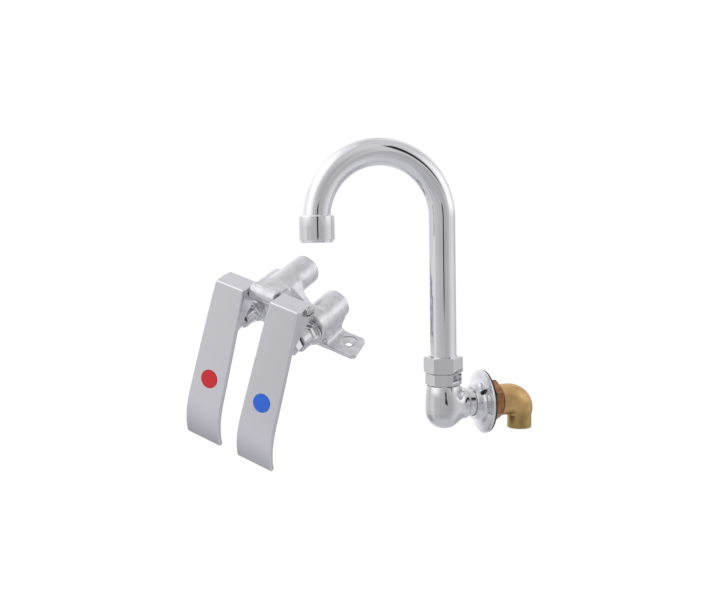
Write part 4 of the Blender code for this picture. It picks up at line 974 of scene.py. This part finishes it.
def pedal_field(side):
    """Field of one pedal: plate, a gusset at each edge, and the lug that meets the stem."""
    lug_x = side * (BARREL_PITCH - PEDAL_PITCH) - PEDAL_SHIFT
    end_y, end_z, end_lean = blade_point(STRAIGHT + CURVE)
    lug_low, lug_high = STEM_AXIS_Z - LUG_HALF_HEIGHT, STEM_AXIS_Z + LUG_HALF_HEIGHT
    low_y = blade_point((TOP_Z - lug_low) / math.cos(LEAN))[0] + 0.0024
    high_y = blade_point((TOP_Z - lug_high) / math.cos(LEAN))[0] + 0.0036
    lug_outline = [(low_y, lug_low - 0.0024), (LUG_REAR_Y, lug_low + 0.0012),
                   (LUG_REAR_Y, lug_high - 0.0012), (high_y, lug_high + 0.0024)]

    def field(x, y, z):
        across = np.abs(x)
        down = np.clip((TOP_Z - z) / 0.1410, 0.0, 1.0)
        half_width = PEDAL_HALF_WIDTH + 0.00445 * down ** 0.6
        plate = polyline(y, z, PEDAL_LINE) - PLATE / 2
        beyond = (y - end_y) * -math.sin(end_lean) - (z - end_z) * math.cos(end_lean)
        plate = smooth_max(plate, beyond, 0.0010)
        plate = smooth_max(plate, across - half_width, 0.0011)
        wall = smooth_max(polygon(y, z, GUSSET),
                          slab(across, GUSSET_OUTER - GUSSET_THICKNESS, GUSSET_OUTER), 0.0007)
        lug = smooth_max(polygon(y, z, lug_outline), np.abs(x - lug_x) - LUG_HALF_WIDTH, 0.0010)
        return smooth_min(smooth_min(plate, wall, 0.0014), lug, 0.0016)
    return field


MARKER_RUN = 0.0870
MARKERS = {"hot": (RED, "red_marker"), "cold": (BLUE, "blue_marker")}
for prefix, side in SIDES:
    place = VALVE @ at(PEDAL_SHIFT + side * PEDAL_PITCH, 0.0, 0.0)
    pedal = formed(prefix + "_pedal", pedal_field(side), (-0.0188, -0.0700, -0.1400),
                   (0.0188, 0.0075, 0.0066), 0.0006, SATIN, place,
                   cuts=[plug(PIN_HOLE_RADIUS, -0.0200, 0.0200, TURN_X)])
    standing(pedal, prefix + "_lever", prefix + "_pedal", "satin_chrome")

    y, z, lean = blade_point(MARKER_RUN)
    disc_place = place @ at(0.0, y, z) @ Matrix.Rotation(math.pi / 2 - lean, 4, "X")
    colour, marker_slot = MARKERS[prefix]
    disc = turned(prefix + "_disc", [
        (MARKER_RADIUS, 0.00015), (MARKER_RADIUS, 0.00045), (MARKER_RADIUS - 0.0002, 0.0006),
        (MARKER_RADIUS - 0.0007, 0.00065)], colour, disc_place, closed=False)
    standing(disc, prefix + "_lever", prefix + "_marker", marker_slot)


# ---- hinge pin, bonnets, packing nuts and stems ----
# The head has a groove round it and a slot across it; heights are from the pedal's side.
PIN_HEAD_PROFILE = [(PIN_HEAD_RADIUS - 0.0002, 0.0), (PIN_HEAD_RADIUS, 0.0002),
                    (PIN_HEAD_RADIUS, 0.0010), (0.0044, 0.0013), (0.0044, 0.0017),
                    (PIN_HEAD_RADIUS, 0.0020), (PIN_HEAD_RADIUS, 0.0030), (0.0048, 0.0037),
                    (0.0040, 0.0042)]
head = PEDAL_SHIFT + PEDAL_PITCH + PEDAL_HALF_WIDTH + GAP
tail = PEDAL_SHIFT - PEDAL_PITCH - PEDAL_HALF_WIDTH - GAP - PIN_NUT_LENGTH
slot_half_width, slot_half_length = 0.0008, 0.0062
slot_low, slot_high = head + 0.0020, head + 0.0052
slot = new_mesh(
    "slot", [(x, y, z) for x in (-slot_half_width, slot_half_width)
             for y in (-slot_half_length, slot_half_length) for z in (slot_low, slot_high)],
    [(0, 1, 3, 2), (4, 6, 7, 5), (0, 4, 5, 1), (2, 3, 7, 6), (0, 2, 6, 4), (1, 5, 7, 3)])
pin = turned("pin", [(0.0018, tail), (PIN_RADIUS, tail + 0.0006), (PIN_RADIUS, head)]
             + [(radius, head + height) for radius, height in PIN_HEAD_PROFILE],
             STEEL, VALVE @ TURN_X, segments=64, closed=False, cuts=[slot])
standing(pin, "fixed_parts", "hinge_pin", "stainless_steel")


def bonnet_field(x, y, z):
    """Along the stem, from the user's side: nose, hexagon, flange and the skirt in the bore."""
    across = np.hypot(x, y)
    hexed = nut_field(BONNET_CORNER, 0.0150, 0.0226, 0.0, False, True, 0.0014)(x, y, z)
    nose = cylinder(across, z, BONNET_NOSE_RADIUS, 0.0033, 0.0190, 0.0012)
    flange_part = cylinder(across, z, BONNET_FLANGE_RADIUS, 0.0214, 0.0234, 0.0007)
    skirt = cylinder(across, z, BONNET_SKIRT_RADIUS, 0.0220, 0.0277, 0.0004)
    shape = smooth_min(smooth_min(hexed, nose, 0.0016), flange_part, 0.0016)
    return np.minimum(shape, skirt)


def packing_nut_field(x, y, z):
    hexed = nut_field(PACKING_NUT_CORNER, -0.0060, 0.0026, 0.0, True, True)(x, y, z)
    spigot = cylinder(np.hypot(x, y), z, PACKING_BORE_RADIUS - GAP, 0.0020, 0.0066, 0.0004)
    return np.minimum(hexed, spigot)


STEM_PROFILE = [(0.0008, -0.0120), (0.0018, -0.0116), (0.0027, -0.0108), (STEM_RADIUS, -0.0098),
                (STEM_RADIUS, 0.0411), (SEAT_WASHER_RADIUS, 0.0411), (SEAT_WASHER_RADIUS, 0.0437),
                (GUIDE_RADIUS, 0.0437), (GUIDE_RADIUS, 0.0500)]
for prefix, side in SIDES:
    place = VALVE @ at(side * BARREL_PITCH, 0.0, STEM_AXIS_Z) @ TURN_Y
    bonnet_bore = turned_mesh([
        (PACKING_BORE_RADIUS, 0.0020), (PACKING_BORE_RADIUS, 0.0123),
        (STEM_HOLE_RADIUS, 0.0123), (STEM_HOLE_RADIUS, 0.0290)], 72, False)
    # The bonnet and the packing nut take the darker chrome copy: painted shade.
    bonnet = formed(prefix + "_bonnet", bonnet_field, (-0.0133, -0.0133, 0.0028),
                    (0.0133, 0.0133, 0.0281), 0.0004, SHADED_CHROME, place, cuts=[bonnet_bore])
    standing(bonnet, "fixed_parts", prefix + "_bonnet", "polished_chrome")
    gland = formed(prefix + "_gland", packing_nut_field, (-0.0082, -0.0082, -0.0065),
                   (0.0082, 0.0082, 0.0070), 0.0004, SHADED_CHROME, place,
                   cuts=[plug(STEM_HOLE_RADIUS, -0.0080, 0.0080)])
    standing(gland, "fixed_parts", prefix + "_packing_nut", "polished_chrome")
    stem = turned(prefix + "_stem_rod", STEM_PROFILE, STEEL, place, segments=48, closed=False)
    standing(stem, prefix + "_plunger", prefix + "_stem", "stainless_steel")

# The return springs are copies of their CAD meshes, smooth shaded, on the fixed parts.
for prefix, _ in SIDES:
    mesh = nodes[prefix + "_return_spring"].data.copy()
    shade(mesh, 50.0)
    coil = put(prefix + "_coil", mesh, STEEL)
    standing(coil, "fixed_parts", prefix + "_return_spring", "stainless_steel")
    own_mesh(coil)


# ---- floor ----
def floor_material():
    """Pale floor: lit, so that it takes shadows, and nearly white to the camera."""
    camera_share = 0.94
    material, tree, shader = new_material("floor")
    feed(shader, {"Base Color": (0.86, 0.86, 0.87, 1.0), "Roughness": 0.9})
    glow = add_node(tree, "Emission", {"Color": WHITE, "Strength": 1.02})
    camera_ray = add_node(tree, "LightPath", {}).outputs["Is Camera Ray"]
    share = add_node(tree, "Math", {0: camera_ray, 1: camera_share}, operation="MULTIPLY")
    mix = add_node(tree, "MixShader", {"Fac": share.outputs[0], 1: shader.outputs["BSDF"],
                                       2: glow.outputs["Emission"]})
    feed(tree.nodes["Material Output"], {"Surface": mix.outputs["Shader"]})
    return material


WHITE = (1.0, 1.0, 1.0, 1.0)
FLOOR_Z = -0.0750
FLOOR_HALF = 8.0
corners = [(-FLOOR_HALF, -FLOOR_HALF, FLOOR_Z), (FLOOR_HALF, -FLOOR_HALF, FLOOR_Z),
           (FLOOR_HALF, FLOOR_HALF, FLOOR_Z), (-FLOOR_HALF, FLOOR_HALF, FLOOR_Z)]
floor = put("floor", new_mesh("floor", corners, [(0, 1, 2, 3)]), floor_material())
floor.visible_glossy = False    # the metal reflects the tent's lower cards instead
floor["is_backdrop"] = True


# ---- studio: a white background, and a tent of pale cards that the metal reflects ----
# Each ring of the tent is a run of (degrees to the right of the camera's side, brightness).
CAMERA_SIDE = math.radians(75.0)
NEAR_FLOOR = [(-180, 0.80), (-150, 0.82), (-125, 0.40), (-105, 0.54), (-74, 0.76), (-60, 0.53),
              (-46, 0.64), (-32, 0.51), (0, 0.50), (30, 0.55), (45, 0.60), (60, 0.72), (76, 0.77),
              (90, 0.68), (104, 0.55), (125, 0.50), (160, 0.66), (180, 0.80)]
BELOW_LEVEL = [(-180, 1.15), (-150, 1.12), (-136, 0.84), (-120, 0.74), (-105, 0.74), (-76, 0.82),
               (-68, 0.78), (-60, 0.60), (-45, 0.62), (-30, 0.55), (0, 0.52), (25, 0.47),
               (45, 0.53), (60, 0.68), (76, 0.79), (90, 0.82), (105, 0.76), (125, 0.58),
               (155, 0.70), (180, 1.15)]
ABOVE_LEVEL = [(-180, 1.05), (-150, 1.15), (-120, 1.00), (-105, 1.00), (-90, 1.12), (-75, 1.24),
               (-58, 1.24), (-44, 1.02), (-30, 0.70), (-15, 0.57), (0, 0.50), (15, 0.47),
               (26, 0.54), (38, 0.72), (54, 0.62), (62, 0.95), (74, 1.22), (92, 1.18), (106, 1.10),
               (120, 0.92), (136, 0.78), (150, 0.85), (180, 1.05)]
UPPER = [(-180, 0.82), (-150, 1.00), (-134, 1.25), (-100, 1.34), (-60, 1.34), (-46, 1.20),
         (-38, 1.00), (-28, 0.78), (-18, 0.66), (0, 0.65), (20, 0.73), (34, 0.74), (50, 0.67),
         (76, 0.74), (105, 0.68), (120, 0.68), (136, 0.84), (155, 0.90), (170, 0.80), (180, 0.82)]
OVERHEAD = [(-180, 0.68), (-150, 0.80), (-100, 0.96), (-60, 0.96), (-30, 0.84), (0, 0.74),
            (30, 0.70), (180, 0.68)]
UNDERFOOT = (0.64, 0.64, 0.68, 1.0)

# The rings from below upwards: the elevations in degrees between which each takes over from the
# one below it, its stops and how blue it is.
RINGS = [(-56.0, -44.0, NEAR_FLOOR, 0.028), (-27.0, -16.0, BELOW_LEVEL, 0.012),
         (-0.5, 5.0, ABOVE_LEVEL, 0.012), (22.0, 42.0, UPPER, 0.012), (58.0, 74.0, OVERHEAD, 0.012)]

# Dark upright gaps between the cards: middle and half width in degrees to the right, lower and
# upper end in degrees of elevation, and the softness of these ends.
GAPS = [(6.2, 5.8, -5.0, 5.0, 2.0), (45.5, 7.0, 9.0, 40.0, 6.0)]
GAP_DARKNESS = 0.97


def build_world():
    """A world that is white to the camera, and the tent of cards to all other rays."""
    world = bpy.data.worlds.new("studio")
    world.use_nodes = True
    bpy.context.scene.world = world
    tree = world.node_tree
    tree.nodes.clear()

    def math_node(operation, *values):
        return add_node(tree, "Math", dict(enumerate(values)), operation=operation).outputs[0]

    place = add_node(tree, "TexCoord", {}).outputs["Generated"]
    x, y, z = add_node(tree, "SeparateXYZ", {0: place}).outputs
    ahead = math_node("ADD", math_node("MULTIPLY", x, math.sin(CAMERA_SIDE)),
                      math_node("MULTIPLY", y, -math.cos(CAMERA_SIDE)))
    right = math_node("ADD", math_node("MULTIPLY", x, math.cos(CAMERA_SIDE)),
                      math_node("MULTIPLY", y, math.sin(CAMERA_SIDE)))
    turn = math_node("ARCTAN2", right, ahead)
    # Both directions run from 0 to 1, with 0.5 at the camera's side and at the level.
    around = math_node("ADD", math_node("DIVIDE", turn, 2 * math.pi), 0.5)
    flat = math_node("SQRT", math_node("ADD", math_node("MULTIPLY", x, x),
                                       math_node("MULTIPLY", y, y)))
    height = math_node("ADD", math_node("DIVIDE", math_node("ARCTAN2", z, flat), math.pi), 0.5)

    def place_around(degrees):
        return degrees / 360.0 + 0.5

    def place_up(degrees):
        return degrees / 180.0 + 0.5

    def cards(stops, tint):
        shades = (1.0 - tint, 1.0 - 1.2 * tint, 1.0 + tint)
        return ramp(tree, around, [(place_around(degrees), [value * shade for shade in shades])
                                   for degrees, value in stops])

    def blend(factor, first, second):
        return add_node(tree, "Mix", {"Factor": factor, "A": first, "B": second},
                        data_type="RGBA").outputs["Result"]

    def step_up(low, high, first=0.0, last=1.0):
        return ramp(tree, height, [(place_up(low), first), (place_up(high), last)])

    def gap(middle, half_width, low, high, soft):
        """A dark upright gap in the tent: 1 outside it and nearly 0 inside."""
        aside = math_node("ABSOLUTE", math_node("SUBTRACT", around, place_around(middle)))
        edge = ramp(tree, aside, [(half_width * 0.55 / 360.0, 1.0), (half_width / 360.0, 0.0)])
        bottom = step_up(low - soft, low)
        top = step_up(high, high + soft, 1.0, 0.0)
        inside = math_node("MULTIPLY", math_node("MULTIPLY", edge, bottom), top)
        return math_node("SUBTRACT", 1.0, math_node("MULTIPLY", inside, GAP_DARKNESS))

    tent = UNDERFOOT
    for low, high, stops, tint in RINGS:
        tent = blend(step_up(low, high), tent, cards(stops, tint))
    open_share = math_node("MULTIPLY", gap(*GAPS[0]), gap(*GAPS[1]))
    shaded = add_node(tree, "VectorMath", {0: tent, "Scale": open_share}, operation="SCALE")
    camera_ray = add_node(tree, "LightPath", {}).outputs["Is Camera Ray"]
    seen = blend(camera_ray, shaded.outputs[0], WHITE)
    background = add_node(tree, "Background", {"Color": seen})
    add_node(tree, "OutputWorld", {"Surface": background.outputs[0]})


build_world()

LAMP_TARGET = Vector((-0.05, -0.13, 0.05))
lamp = bpy.data.lights.new("soft_key", "AREA")
lamp.shape = "DISK"
lamp.size = 0.7
lamp.energy = 6.0
key = add_object("soft_key", lamp)
key.location = (0.75, -0.75, 1.05)
key.rotation_euler = (LAMP_TARGET - key.location).to_track_quat("-Z", "Y").to_euler()
key.visible_glossy = False

# ---- camera ----
CAMERA_PLACE = (0.717912, -0.333489, 0.158053)
CAMERA_TURN = Euler([math.radians(angle) for angle in (84.5338, 1.1667, 72.7084)])
camera_data = bpy.data.cameras.new("camera")
camera_data.sensor_width = 36.0
camera_data.lens = 48.07
camera_data.clip_start = 0.01
camera_data.clip_end = 50.0
camera = add_object("camera", camera_data)
camera.matrix_world = Matrix.LocRotScale(CAMERA_PLACE, CAMERA_TURN, None)
bpy.context.scene.camera = camera
bpy.context.scene.view_settings.view_transform = "Standard"

[[list(corner) for corner in box] for box in (cad_box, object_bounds())]
